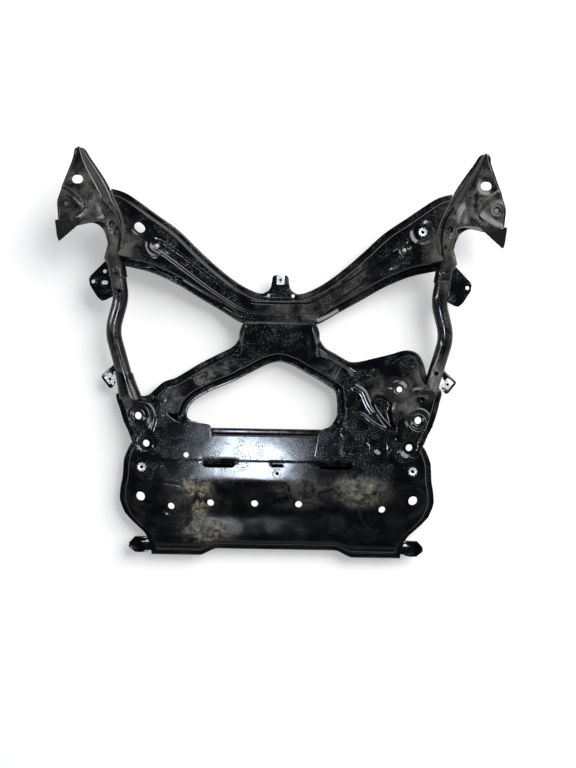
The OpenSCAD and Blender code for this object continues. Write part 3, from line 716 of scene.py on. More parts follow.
def patch_mask(tree: Tree, where: Socket, patches: Sequence[DirtAndGlowPatch]) -> Socket:
    """Mask of soft patches.

    Args:
        tree: Tree that takes the nodes.
        where: Place of the shaded point.
        patches: The patches, or none.

    Returns:
        The strongest patch at each point.
    """
    total: object = 0.0
    for patch in patches:
        place: Socket = where
        for operation, by in (
            ("SUBTRACT", (patch.x * MM, patch.y * MM, SIZES.deck_z * MM)),
            ("MULTIPLY", (1 / patch.wide, 1.0, patch.upright)),
        ):
            place = add_node(tree, "ShaderNodeVectorMath", {"operation": operation}, in_0=place,
                             in_1=by).outputs[0]
        far = add_node(tree, "ShaderNodeVectorMath", {"operation": "LENGTH"}, in_0=place).outputs[1]
        fade = Ramp(patch.r * MM, patch.r * MM * patch.core, to_high=patch.amount)
        ball = add_node(tree, "ShaderNodeMapRange", SMOOTH, **fade.inputs(far)).outputs[0]
        total = add_node(tree, "ShaderNodeMath", MAXIMUM, in_0=total, in_1=ball).outputs[0]
    return chain(tree, "ShaderNodeMath", MULTIPLY, total, 1.0)


@dataclass(frozen=True)
class PaintFinish:
    """Electro-coated sheet steel: semi-gloss black, with dust, dried mud and bare nicks.

    The coat is smooth, so it mirrors lamps as white sheens with wavy edges. Dust lies on faces that
    look up and dulls them, mud dries to tan patches, and edges shine where the coat is worn.
    Each ramp is the range over which a mask fades in, and each bump a strength and a depth in
    millimetres.
    """

    name: str = "black_ecoat_on_pressed_steel"
    colour: str = "#06070b"
    dust_colour: str = "#62605a"
    fleck_colour: str = "#8e8d88"
    mud_colour: str = "#8c8468"
    nick_colour: str = "#c6c4bd"
    roughness: float = 0.1
    dull_roughness: float = 0.7
    ior: float = 1.5
    dust: float = 0.1
    edge_wear: float = 0.4
    mud_patches: tuple[DirtAndGlowPatch, ...] = ()
    dust_patches: tuple[DirtAndGlowPatch, ...] = ()
    wave: Pattern = Pattern(45.0, 2.0)
    film: Pattern = Pattern(38.0, 7.0, 0.62, 0.6)
    grain: Pattern = Pattern(3.0, 3.0, 0.6)
    fleck: Pattern = Pattern(6.0, 4.0, 0.75)
    crumb: Pattern = Pattern(14.0, 8.0, 0.75)
    speck_mm: float = 9.0
    level_ramp: Ramp = Ramp(0.5, 0.95)
    cloud_ramp: Ramp = Ramp(0.45, 0.72)
    thin_ramp: Ramp = Ramp(0.36, 0.62)
    grain_ramp: Ramp = Ramp(0.3, 0.75, 0.3)
    crumb_ramp: Ramp = Ramp(0.46, 0.64)
    drift_ramp: Ramp = Ramp(0.4, 0.68)
    fleck_ramp: Ramp = Ramp(0.58, 0.72, to_high=0.42)
    clean_ramp: Ramp = Ramp((SIZES.trough_y - 20) * MM, (SIZES.trough_y + 60) * MM, 0.06)
    stipple_ramp: Ramp = Ramp(0.5, 0.62, to_high=0.62)
    speck_ramp: Ramp = Ramp(0.13, 0.08, to_high=0.75)
    broken_ramp: Ramp = Ramp(to_low=0.3)
    worn_range: Point = (0.53, 0.63)
    dull_from: float = 0.6
    swell_bump: Point = (0.12, 1.4)
    peel_bump: Point = (0.06, 0.25)
    crust_bump: Point = (0.6, 0.8)

    def make(self) -> Material:
        """Builds the node tree.

        Returns:
            The material.
        """
        material, tree, shader = new_material(self.name)
        where = add_node(tree, "ShaderNodeTexCoord").outputs["Object"]
        geometry = add_node(tree, "ShaderNodeNewGeometry").outputs
        up = add_node(tree, "ShaderNodeSeparateXYZ", in_0=geometry["Normal"]).outputs["Z"]
        along = add_node(tree, "ShaderNodeSeparateXYZ", in_0=where).outputs["Y"]
        film, grain, wave, crumbs, flecks = (
            add_node(tree, "ShaderNodeTexNoise", **pattern.inputs(where)).outputs["Fac"]
            for pattern in (self.film, self.grain, self.wave, self.crumb, self.fleck))
        level = add_node(tree, "ShaderNodeMapRange", SMOOTH,
                         **self.level_ramp.inputs(up)).outputs[0]
        cloud, thin, uneven, crumbs, flecks, drifted, sparse, stipple = (
            add_node(tree, "ShaderNodeMapRange", **ramp.inputs(value)).outputs[0]
            for ramp, value in (
                (self.cloud_ramp, film), (self.thin_ramp, film), (self.grain_ramp, grain),
                (self.crumb_ramp, crumbs), (self.fleck_ramp, flecks), (self.drift_ramp, wave),
                (self.clean_ramp, along), (self.stipple_ramp, grain)))
        drifts = chain(tree, "ShaderNodeMath", MULTIPLY, patch_mask(tree, where, self.dust_patches),
                       thin)
        dust = add_node(tree, "ShaderNodeMath", MAXIMUM,
                        in_0=chain(tree, "ShaderNodeMath", MULTIPLY, cloud, self.dust),
                        in_1=drifts).outputs[0]
        dust = chain(tree, "ShaderNodeMath", MULTIPLY, dust, uneven, level)
        mud = chain(tree, "ShaderNodeMath", MULTIPLY, patch_mask(tree, where, self.mud_patches),
                    crumbs, level)
        flecks = chain(tree, "ShaderNodeMath", MULTIPLY, flecks, thin, drifted, sparse, level)
        nicks = add_node(tree, "ShaderNodeMath", MAXIMUM,
                         in_0=self.specks(tree, where,
                                          chain(tree, "ShaderNodeMath", MULTIPLY, cloud, sparse),
                                          level),
                         in_1=self.worn_edges(tree, geometry["Pointiness"], thin, level)).outputs[0]
        coat: object = linear(self.colour)
        for mask, colour in ((dust, self.dust_colour), (flecks, self.fleck_colour),
                             (mud, self.mud_colour), (nicks, self.nick_colour)):
            coat = add_node(tree, "ShaderNodeMix", COLOURS, Factor=mask, in_6=coat,
                            in_7=linear(colour)).outputs[2]
        dull = add_node(tree, "ShaderNodeMath", MAXIMUM, in_0=dust, in_1=mud).outputs[0]
        duller = Ramp(0.0, self.dull_from, self.roughness, self.dull_roughness)
        rough = add_node(tree, "ShaderNodeMapRange", **duller.inputs(dull)).outputs[0]
        rough = add_node(tree, "ShaderNodeMath", MAXIMUM, in_0=rough,
                         in_1=chain(tree, "ShaderNodeMath", MULTIPLY, stipple, thin, level,
                                    sparse)).outputs[0]
        below: dict[str, Socket] = {}
        for height, (strength, deep_mm) in ((wave, self.swell_bump), (grain, self.peel_bump),
                                            (mud, self.crust_bump)):
            below = {"Normal": add_node(tree, "ShaderNodeBump", Strength=strength, Height=height,
                                        Distance=deep_mm * MM, **below).outputs[0]}
        tree.links.new(coat, shader.inputs["Base Color"])
        tree.links.new(rough, shader.inputs["Roughness"])
        tree.links.new(below["Normal"], shader.inputs["Normal"])
        shader.inputs["IOR"].default_value = self.ior
        return material

    def specks(self, tree: Tree, where: Socket, cloud: Socket, level: Socket) -> Socket:
        """Mask of small pale specks.

        Args:
            tree: Tree that takes the nodes.
            where: Place of the shaded point.
            cloud: Mask of the dusty clouds.
            level: Mask of faces that look up.

        Returns:
            The mask.
        """
        cells = add_node(tree, "ShaderNodeTexVoronoi", Vector=where, Scale=1 / (self.speck_mm * MM),
                         Randomness=1.0).outputs["Distance"]
        dots = add_node(tree, "ShaderNodeMapRange", **self.speck_ramp.inputs(cells)).outputs[0]
        return chain(tree, "ShaderNodeMath", MULTIPLY, dots, cloud, level)

    def worn_edges(self, tree: Tree, pointiness: Socket, thin: Socket, level: Socket) -> Socket:
        """Mask of edges that are worn bare.

        Args:
            tree: Tree that takes the nodes.
            pointiness: How sharply the surface is bent.
            thin: Mask that breaks the edges up.
            level: Mask of faces that look up.

        Returns:
            The mask.
        """
        worn = Ramp(*self.worn_range, to_high=self.edge_wear)
        edge = add_node(tree, "ShaderNodeMapRange", **worn.inputs(pointiness)).outputs[0]
        broken = add_node(tree, "ShaderNodeMapRange", **self.broken_ramp.inputs(thin)).outputs[0]
        return chain(tree, "ShaderNodeMath", MULTIPLY, edge, broken, level)


@dataclass(frozen=True)
class ZincFinish:
    """Zinc-plated spring steel: bright, a little blue, with a cloudy sheen and light scuffs."""

    name: str = "zinc_plated_spring_steel"
    colour: str = "#e6e7e8"
    scuff_colour: str = "#8f9296"
    metallic: float = 0.85
    cloud: Pattern = Pattern(4.0, 4.0)
    scuff_ramp: Ramp = Ramp(0.48, 0.75)
    rough_ramp: Ramp = Ramp(to_low=0.32, to_high=0.57)
    bump_strength: float = 0.3
    bump_mm: float = 0.2

    def make(self) -> Material:
        """Builds the node tree.

        Returns:
            The material.
        """
        material, tree, shader = new_material(self.name)
        where = add_node(tree, "ShaderNodeTexCoord").outputs["Object"]
        cloud = add_node(tree, "ShaderNodeTexNoise", **self.cloud.inputs(where)).outputs["Fac"]
        scuff, rough = (add_node(tree, "ShaderNodeMapRange", **ramp.inputs(cloud)).outputs[0]
                        for ramp in (self.scuff_ramp, self.rough_ramp))
        mixed = add_node(tree, "ShaderNodeMix", COLOURS, Factor=scuff, in_6=linear(self.colour),
                         in_7=linear(self.scuff_colour)).outputs[2]
        tilted = add_node(tree, "ShaderNodeBump", Strength=self.bump_strength, Height=cloud,
                          Distance=self.bump_mm * MM).outputs[0]
        tree.links.new(mixed, shader.inputs["Base Color"])
        tree.links.new(rough, shader.inputs["Roughness"])
        tree.links.new(tilted, shader.inputs["Normal"])
        shader.inputs["Metallic"].default_value = self.metallic
        return material


@dataclass(frozen=True)
class SideColumns:
    """Columns of a hat section from its edge to its top, on one side.

    dist holds distances from the edge, share the part of the full height, fall the rounded rim, and
    flat and wall how far each column has moved once the flange or the wall is one unit wider.
    """

    dist: Array
    share: Array
    fall: Array
    flat: Array
    wall: Array
    most: float = 0.47

    @staticmethod
    def make(flange: float, run: float) -> "SideColumns":
        """Columns for the plan widths of a flange and a wall.

        Args:
            flange: Width of the flange.
            run: Width of the wall.

        Returns:
            The columns.
        """
        rim = np.array([0.0, 0.25, 0.7, 1.4])
        fall = np.array([1.1, 0.45, 0.12, 0.0])
        flat = np.linspace(0, 1, 4)[1:-1]
        wall = np.linspace(0.0, 1.0, 11)
        zeros = np.zeros(len(rim))
        return SideColumns(
            np.concatenate([rim, rim[-1] + (flange - rim[-1]) * flat, flange + run * wall]),
            np.concatenate([zeros, 0 * flat, ease(wall)]),
            np.concatenate([fall, 0 * flat, 0 * wall]),
            np.concatenate([zeros, flat, 1 + 0 * wall]),
            np.concatenate([zeros, 0 * flat, wall]),
        )

    def spread(self, edge: Array, other: Array, wider_flange: Array, wider_wall: Array) -> Array:
        """Distances of the columns along each row.

        Args:
            edge: Points of this side's edge.
            other: Points of the far edge.
            wider_flange: Extra width of the flange in each row.
            wider_wall: Extra width of the wall in each row.

        Returns:
            The distances, rows by columns.
        """
        dist = (self.dist[None, :] + wider_flange[:, None] * self.flat[None, :]
                + wider_wall[:, None] * self.wall[None, :])
        room = self.most * np.linalg.norm(other - edge, axis=1) / dist[:, -1]
        return dist * np.minimum(square_factor(edge, other), room)[:, None]

    def across(self, a: Array, b: Array, columns: int, flange_a: Array, wall_b: Array) -> Array:
        """Distances from the first edge of every column, rows by columns.

        Args:
            a: Points of the first edge.
            b: Points of the second edge.
            columns: Columns of the top.
            flange_a: Extra width of the first edge's flange in each row.
            wall_b: Extra width of the second edge's wall in each row.

        Returns:
            The distances, rows by columns.
        """
        none = np.zeros(len(a))
        near = self.spread(a, b, flange_a, none)
        far = np.linalg.norm(b - a, axis=1)[:, None] - self.spread(b, a, none, wall_b)[:, ::-1]
        inner = np.linspace(0, 1, columns + 2)[1:-1]
        middle = near[:, -1:] + (far[:, :1] - near[:, -1:]) * inner[None, :]
        return np.concatenate([near, middle, far], 1)

    def below(self, drop_a: Array, drop_b: Array, columns: int) -> Array:
        """Heights of every column against the top, for the drops of both edges in each row."""
        a, b = (-drop[:, None] * (1 - self.share) - self.fall for drop in (drop_a, drop_b))
        return np.concatenate([a, np.zeros((len(a), columns)), b[:, ::-1]], 1)


def square_factor(edge: Array, other: Array, most: float = 3.0) -> Array:
    """How much longer a row is than the distance square to an edge, at each of its points.

    Args:
        edge: Points of the edge.
        other: Points of the far edge.
        most: Greatest factor.

    Returns:
        The factor at each point.
    """
    along = np.empty_like(edge)
    along[1:-1] = edge[2:] - edge[:-2]
    along[0], along[-1] = edge[1] - edge[0], edge[-1] - edge[-2]
    toward = other - edge
    cross = np.abs(along[:, 0] * toward[:, 1] - along[:, 1] * toward[:, 0])
    size = np.linalg.norm(along, axis=1) * np.linalg.norm(toward, axis=1)
    return np.minimum(most, size / np.maximum(cross, 1e-6))


@dataclass
class HatShell:
    """A pressed hat section between two plan edges: flange, wall, top, wall, flange."""

    name: str
    node: str
    face: Face
    edge_a: Sequence[Point]
    edge_b: Sequence[Point]
    top: float
    drop_a: Sequence[float]
    drop_b: Sequence[float]
    steps: int = 8
    columns: int = 40
    rising: bool = False
    channel: Sequence[float] = ()
    channel_w: float = 30.0
    channel_d: float = 6.0
    channel_run: float = 6.0
    proud: float = 0.0
    wider: Sequence[float] = ()
    relief: Sequence[Relief] = ()
    cuts: Sequence[Cut] = ()
    cutters: Sequence[Object] = ()

    def outer_face(self) -> Array:
        """Points of the outer face, rows by columns.

        Returns:
            The points.
        """
        a, b = spline(self.edge_a, self.steps), spline(self.edge_b, self.steps)
        unit = (b - a) / np.linalg.norm(b - a, axis=1)[:, None]
        a, b = a - unit * self.proud, b + unit * self.proud
        width = np.linalg.norm(b - a, axis=1)[:, None]
        side = SideColumns.make(SIZES.flange, SIZES.run)
        wider = list(self.wider) + [0.0] * (len(self.edge_a) - len(self.wider))
        u = side.across(a, b, self.columns, between(wider, self.steps), np.zeros(len(a)))
        drops = [between(drop, self.steps) for drop in (self.drop_a, self.drop_b)]
        z = self.top + self.face.value * side.below(*drops, self.columns)
        if self.channel:
            depth = self.channel_d * between(self.channel, self.steps)[:, None]
            inside_by = self.channel_w / 2 - np.abs(u - width / 2)
            z = z - depth * ease(inside_by / self.channel_run)
        flat = a[:, None, :] + unit[:, None, :] * u[:, :, None]
        if self.rising:
            f = u / width
            z = z + arm_lift(a[:, 0])[:, None] * (1 - f) + arm_lift(b[:, 0])[:, None] * f
        return pressed(flat, z, self.relief)

    def build(self, material: Material) -> None:
        """Makes the piece and dresses it."""
        obj = pressing(self.name, self.outer_face(), self.face, self.cuts, self.cutters)
        dress(obj, material, self.node)


def pressed(flat: Array, z: Array, relief: Iterable[Relief]) -> Array:
    """Points of a sheet from their places in plan, their heights and what is pressed into it.

    Args:
        flat: Places in plan.
        z: Heights of the plain sheet.
        relief: What is pressed into it.

    Returns:
        The points.
    """
    for shape in relief:
        z = z + shape.height(flat[..., 0], flat[..., 1])
    return np.concatenate([flat, z[..., None]], -1)


def arm_lift(x: Array) -> Array:
    """Rise of the crossmember at a distance from the centre line."""
    span = SIZES.arm_end_x - SIZES.arm_level_l
    return SIZES.arm_rise * ease((np.abs(x) - SIZES.arm_level_l) / span)


# Extra radius of a sleeve's lower end, and how far lower shells stand out past upper ones
FLARE = 9.0
LOWER_PROUD = 1.2
# Height above which a cut reaches a corner's upper shell only
UPPER_CUT_Z = 40.0
TAB_HOLES = ((-27.0, 145.0), (30.0, 145.0))


@dataclass
class FrontCrossmember:
    """The V-shaped crossmember: an upper and a lower shell from horn to horn."""

    hole: Point = (320.0, 288.0)
    pilot: Point = (281.0, 249.0)
    hole_r: float = 9.5
    pilot_r: float = 4.5
    insert_r: float = 6.0
    tab_hole_r: float = 4.5
    pilot_access: Point = (8.0, 13.0)
    hole_access: Point = (9.0, 20.0)
    tab_access_r: float = 6.0
    rear_drop: tuple[float, ...] = (0, 0, 0, 1, 1, 1, 1, 1, 1, 1)
    channel: tuple[float, ...] = (1, 1, 1, 1, 1, 1, 0.8, 0, 0, 0)

    @staticmethod
    def edges() -> tuple[list[Point], list[Point]]:
        """The front and the rear edge, from left to right.

        Returns:
            Points of both edges.
        """
        t, s, end = SIZES.throat_y, SIZES.seam_y, SIZES.arm_end_x
        f, r = SIZES.arm_front_y, SIZES.arm_rear_y
        front = [(0, t), (34, t + 1), (62, t + 6), (104, t + 28), (150, t + 63), (193, t + 101),
                 (237, f - 87), (288, f - 52), (352, f - 9), (end + 6, f + 3)]
        rear = [(0, s), (45, s), (88, s + 2), (138, s + 30), (188, s + 58), (236, s + 86),
                (278, r - 19), (308, r - 9), (332, r - 4), (end - 22, r + 2)]
        return both_sides(front), both_sides(rear)

    def relief(self) -> list[Relief]:
        """What is pressed into the upper shell.

        Returns:
            The shapes.
        """
        (hx, hy), (px, py) = self.hole, self.pilot
        return [
            Dish(hx, hy, 28, 3.5, 7.0), Ring(hx, hy, 30, 8, 1.2, 150, 190),
            Dish(px, py, 14, 3.5, 5.0),
            Bead(((250, 208), (275, 216), (291, 224), (301, 235), (306, 248)), 8, 1.6),
            Ring(-px, py, 26, 7, 1.6, 170, 150), Dish(-px, py, 13, 2.0, 5.0),
            Dish(-hx, hy, 19, 1.2, 5.0),
            Bead(((-236, 172), (-262, 190), (-300, 200), (-330, 206)), 9, -1.5),
        ]

    def build(self, paint: Material) -> None:
        """Makes both shells.

        Args:
            paint: Finish of the pieces.
        """
        front, rear = self.edges()
        (hx, hy), (px, py) = self.hole, self.pilot
        depth = SIZES.lap_z - SIZES.sheet - SIZES.weld_up
        cuts = [
            Cut.slot(-hx, hy, 7, self.hole_r, -42), Cut.circle(-px, py, self.pilot_r),
            Cut.circle(hx, hy, self.insert_r), Cut.circle(px, py, self.pilot_r),
            *(Cut.circle(x, y, self.tab_hole_r) for x, y in TAB_HOLES),
        ]
        HatShell("crossmember_upper_shell", "front_crossmember_upper", Face.UP, front, rear,
                 SIZES.lap_z, [depth] * len(front), [depth * d for d in mirrored(self.rear_drop)],
                 rising=True, steps=12, columns=44, channel=mirrored(self.channel),
                 relief=self.relief(), cuts=cuts).build(paint)
        # Access holes of the lower shell: how far each is moved outwards, and its radius
        (p_off, p_r), (h_off, h_r) = self.pilot_access, self.hole_access
        access = [
            *(Cut.circle(s * (px + p_off), py + p_off, p_r) for s in BOTH),
            Cut.circle(-hx - h_off, hy + h_off, h_r),
            *(Cut.circle(x, y, self.tab_access_r) for x, y in TAB_HOLES),
        ]
        drop = [SIZES.arm_lower_d] * len(front)
        HatShell("crossmember_lower_shell", "front_crossmember_lower", Face.DOWN, front, rear,
                 SIZES.weld_down - SIZES.arm_lower_d - SIZES.sheet, drop, drop, rising=True,
                 steps=6, columns=14, proud=LOWER_PROUD, cuts=access).build(paint)


LEFT_SEAM = ((185.0, SIZES.seam_y - 97), (160.0, SIZES.seam_y - 158))
RIGHT_SEAM = ((152.0, SIZES.seam_y - 81), (122.0, SIZES.seam_y - 146))


def halfway(a: Point, b: Point) -> Point:
    """The point half way between two points."""
    return ((a[0] + b[0]) / 2, (a[1] + b[1]) / 2)


@dataclass
class CentreBrace:
    """The X-shaped brace behind the crossmember."""

    front_drop: tuple[float, ...] = (0, 0, 0, 0.5, 1, 1)
    lower_clear: float = 4.0

    @staticmethod
    def edges() -> list[list[Point]]:
        """The front and the rear edge, from the left corner's seam to the right one's.

        Returns:
            Points of both edges.
        """
        s = SIZES.seam_y
        halves = (
            [(0, s + 11), (45, s + 11), (78, s + 4), (92, s - 18), (95, s - 38), (108, s - 56)],
            [(0, s - 87), (28, s - 94), (52, s - 106), (72, s - 117), (86, s - 124),
             (100, s - 132)],
        )
        return [flip([left, halfway(left, half[-1])]) + both_sides(half)
                + [halfway(right, half[-1]), right]
                for half, left, right in zip(halves, LEFT_SEAM, RIGHT_SEAM)]

    def build(self, paint: Material) -> None:
        """Makes both shells.

        Args:
            paint: Finish of the pieces.
        """
        a, b = self.edges()
        share = (1, 1, *mirrored(self.front_drop), 1, 1)
        depth = SIZES.deck_z - SIZES.sheet - SIZES.weld_up
        HatShell("brace_upper_shell", "centre_brace_upper", Face.UP, a, b, SIZES.deck_z,
                 [depth * s for s in share], [depth] * len(a), steps=10, columns=36,
                 relief=[Dish(0, SIZES.seam_y - 30, 62, 2.0, 40.0)]).build(paint)
        setback = SIZES.gap + SIZES.run + self.lower_clear
        lower_a = [(x, y - setback * (1 - s)) for (x, y), s in zip(a, share)]
        drop = [SIZES.weld_down - SIZES.sheet] * len(a)
        HatShell("brace_lower_shell", "centre_brace_lower", Face.DOWN, lower_a, b, 0.0, drop, drop,
                 steps=6, columns=12, proud=LOWER_PROUD).build(paint)


@dataclass
class TubeLine:
    """The bent axis of a side tube, written for the right-hand side."""

    front: Point = (SIZES.arm_end_x - 9, SIZES.arm_rear_y - 4)
    rear: Point = (341.0, SIZES.seam_y - 188)
    bends: tuple[Point, ...] = ((0.22, -2.5), (0.47, 27.0))
    rear_z: float = SIZES.weld_z + 4

    def height(self, y: float) -> float:
        """Height of the axis at a place along Y."""
        share = (y - self.rear[1]) / (self.front[1] - self.rear[1])
        return self.rear_z + (SIZES.tube_front_z - self.rear_z) * share

    def x_at(self, y: Array) -> Array:
        """Distance of the axis from the centre line at places along Y."""
        axis = self.points(2.0)[::-1]
        return np.interp(y, axis[:, 1], axis[:, 0])

    def points(self, step: float = 4.0) -> Array:
        """Points along the axis, with round bends.

        Args:
            step: Greatest distance between two points on a bend.

        Returns:
            The points, from the front end to the rear end.
        """
        front, rear = np.array(self.front), np.array(self.rear)
        plan = [front] + [front + (rear - front) * f + [off, 0] for f, off in self.bends] + [rear]
        line = [plan[0]]
        for before, corner, after in zip(plan[:-2], plan[1:-1], plan[2:]):
            u = (corner - before) / np.linalg.norm(corner - before)
            v = (after - corner) / np.linalg.norm(after - corner)
            swing = math.atan2(u[0] * v[1] - u[1] * v[0], float(u @ v))
            reach = SIZES.bend_r * math.tan(abs(swing) / 2)
            side = math.copysign(1.0, swing)
            start = corner - u * reach
            centre = start + side * SIZES.bend_r * np.array([-u[1], u[0]])
            count = max(4, int(SIZES.bend_r * abs(swing) / step))
            arm = start - centre
            for a in np.linspace(0, swing, count + 1):
                turn = np.array([[math.cos(a), -math.sin(a)], [math.sin(a), math.cos(a)]])
                line.append(centre + turn @ arm)
        line.append(plan[-1])
        flat = np.array(line)
        return np.column_stack([flat, [self.height(y) for y in flat[:, 1]]])


TUBE = TubeLine()


def swept_rings(path: Array, radius: float, sides: int) -> Array:
    """Rings of points round a path that stays nearly level.

    Args:
        path: Points of the axis.
        radius: Radius of the rings.
        sides: Points in each ring.

    Returns:
        The points, rings by sides.
    """
    along = np.gradient(path, axis=0)
    along /= np.linalg.norm(along, axis=1)[:, None]
    across = np.cross(along, [0, 0, 1.0])
    across /= np.linalg.norm(across, axis=1)[:, None]
    up = np.cross(across, along)
    a = np.linspace(0, 2 * math.pi, sides, endpoint=False)
    return (path[:, None, :] + radius * (np.cos(a)[None, :, None] * across[:, None, :]
                                         + np.sin(a)[None, :, None] * up[:, None, :]))


def rod_object(name: str, path: Array, radius: float, sides: int = 32) -> Object:
    """A solid round rod along a path, used as a cutter.

    Args:
        name: Name of the object.
        path: Points of the axis.
        radius: Radius of the rod.
        sides: Points round the axis.

    Returns:
        The object.
    """
    rings = swept_rings(path, radius, sides)
    count = len(path)
    faces = grid_faces(count, sides, 0, True, True).tolist()
    faces.append([k for k in range(sides)])
    faces.append([(count - 1) * sides + k for k in range(sides)][::-1])
    obj = mesh_object(name, rings.reshape(-1, 3), faces)
    face_outwards(obj)
    return obj


def face_outwards(obj: Object) -> None:
    """Turns the faces of a closed mesh outwards.

    Args:
        obj: The object.
    """
    bm = bmesh.new()
    bm.from_mesh(obj.data)
    bmesh.ops.recalc_face_normals(bm, faces=bm.faces)
    bm.to_mesh(obj.data)
    bm.free()


@dataclass(frozen=True)
class Turned:
    """A closed section, as radius and height, turned about an upright axis."""

    x: float
    y: float
    section: tuple[Point, ...]


def turned_object(name: str, parts: Sequence[Turned], sides: int = 64) -> Object:
    """One object with every turned part.

    Args:
        name: Name of the object.
        parts: The parts.
        sides: Points round each axis.

    Returns:
        The object, shaded smooth.
    """
    turn = np.linspace(0, 2 * math.pi, sides, endpoint=False)
    verts, faces, first = [], [], 0
    for part in parts:
        r, z = np.array(part.section).T
        count = len(r)
        rings = np.stack([part.x + np.outer(r, np.cos(turn)), part.y + np.outer(r, np.sin(turn)),
                          np.repeat(z[:, None], sides, 1)], -1)
        verts.append(rings.reshape(-1, 3))
        i, j = np.meshgrid(np.arange(count), np.arange(sides), indexing="ij")
        after, beside = (i + 1) % count, (j + 1) % sides
        quad = np.stack([i * sides + j, after * sides + j, after * sides + beside,
                         i * sides + beside], -1)
        faces += (quad.reshape(-1, 4) + first).tolist()
        first += count * sides
    obj = mesh_object(name, np.concatenate(verts), faces)
    face_outwards(obj)
    smooth_faces(obj)
    return obj


@dataclass
class Sleeves:
    """Spacer sleeves between the shells, with bores that flare towards the lower shell."""

    wall: float = 5.0
    collar: float = 10.0
    rim: float = 0.6
    rim_fall: float = 0.8

    def part(self, hole: Triple, side: int, top: float) -> Turned:
        """One sleeve under an upper shell, for a hole's place and radius.

        Args:
            hole: Place and radius on the right-hand side.
            side: Sign of the side.
            top: Height of the sleeve's top.

        Returns:
            The sleeve.
        """
        x, y, r = hole
        low, out, rim, fall = SIZES.sheet + SIZES.gap, r + self.wall, self.rim, self.rim_fall
        return Turned(side * x, y, (
            (r, top - fall), (r + rim, top), (out - rim, top), (out, top - fall),
            (out, top - self.collar), (out + FLARE - 3, low), (r + FLARE, low),
            (r, top - self.collar + 2),
        ))

    def build(self, paint: Material) -> None:
        """Makes the sleeves of the corners, the links, the body mounts and the steering gear.

        Args:
            paint: Finish of the pieces.
        """
        plate = RearPlate()
        under = SIZES.deck_z - SIZES.sheet - SIZES.gap
        trough = under - plate.trough
        seat = (*RearCorner.seat, RearCorner.seat_hole_r)
        gear = [(hole, s) for s in BOTH for hole in (plate.gear_outer, plate.gear_inner)]
        for node, holes, top in (
            ("corner_sleeves", [(seat, s) for s in BOTH], under - RearCorner.seat_d),
            ("link_sleeves", [(plate.link, s) for s in BOTH], under),
            ("body_mount_sleeves", [(plate.body_hole, s) for s in BOTH], trough),
            ("steering_gear_sleeves", [(plate.gear_extra, 1), *gear], trough),
        ):
            parts = [self.part(hole, s, top) for hole, s in holes]
            dress(turned_object(node + "_turned", parts), paint, node)


@dataclass
class MountPocket:
    """A domed seat welded on the right-hand corner, and the bushes in the horns."""

    x: float = 276.0
    y: float = SIZES.seam_y - 148
    r: float = 34.0
    height: float = 16.0
    bolt_r: float = 6.5
    bush_r: float = 6.5
    bush_l: float = 44.0
    bush_wall: float = 5.4
    bush_below: float = 4.5
    thread: float = 1.3

    def build(self, paint: Material) -> None:
        """Makes the dome and both bushes.

        Args:
            paint: Finish of the pieces.
        """
        z, t, bolt = SIZES.lap_z + SIZES.gap, SIZES.sheet, self.bolt_r
        top = z + self.height
        crown = [(self.r - 2 - (self.r - 5 - bolt) * u,
                  z + t + (self.height - t) * math.sin(u * math.pi / 2))
                 for u in np.linspace(0, 1, 22)]
        under = [(r - 1.6, h - t) for r, h in crown[::-1]]
        dome = ((self.r, z), (self.r, z + t - 0.8), (self.r - 0.8, z + t), *crown,
                (bolt + 0.8, top - 0.2), (bolt, top - 1.0), (bolt, top - t), *under,
                (self.r - 4.4, z))
        pocket = turned_object("mount_pocket_dome", [Turned(self.x, self.y, dome)], 96)
        dress(pocket, paint, "mount_pocket")
        top, r = SIZES.horn_top_z - self.bush_below, self.bush_r
        low, bore, out = top - self.bush_l, r - self.thread, r + self.bush_wall
        bush = ((r, top - 1), (r + 1, top), (out - 0.8, top), (out, top - 0.8), (out, low),
                (r, low), (bore, low + 1), (bore, top - 9), (r, top - 8))
        places = [Turned(s * SIZES.bush[0], SIZES.bush[1], bush) for s in BOTH]
        dress(turned_object("horn_bush_pair", places), paint, "horn_bushes")


@dataclass
class SideTube:
    """A bent side tube between a horn's neck and a rear corner."""

    side: Side
    hole: Point
    hole_r: float = 5.0
    sides: int = 40

    def build(self, paint: Material) -> None:
        """Makes the tube with its drain hole.

        Args:
            paint: Finish of the pieces.
        """
        path = TUBE.points(3.0) * np.array([self.side.value, 1, 1])
        radii = (SIZES.tube_r, SIZES.tube_r - SIZES.tube_wall)
        verts = np.concatenate([swept_rings(path, r, self.sides).reshape(-1, 3) for r in radii])
        rows, count = len(path), len(path) * self.sides
        faces = np.concatenate([
            grid_faces(rows, self.sides, 0, True, True),
            grid_faces(rows, self.sides, count, False, True),
        ]).tolist()
        for first in (0, count - self.sides):
            for k in range(self.sides):
                m = (k + 1) % self.sides
                faces.append([first + k, first + m, first + count + m, first + count + k])
        label = self.side.label
        obj = mesh_object(f"{label}_tube", verts, faces)
        face_outwards(obj)
        z = TUBE.height(self.hole[1])
        cut_holes(obj, [prism_mesh("tube_hole", [Cut.circle(*self.hole, self.hole_r, z, z + 60)])])
        smooth_faces(obj)
        dress(obj, paint, f"{label}_side_tube")


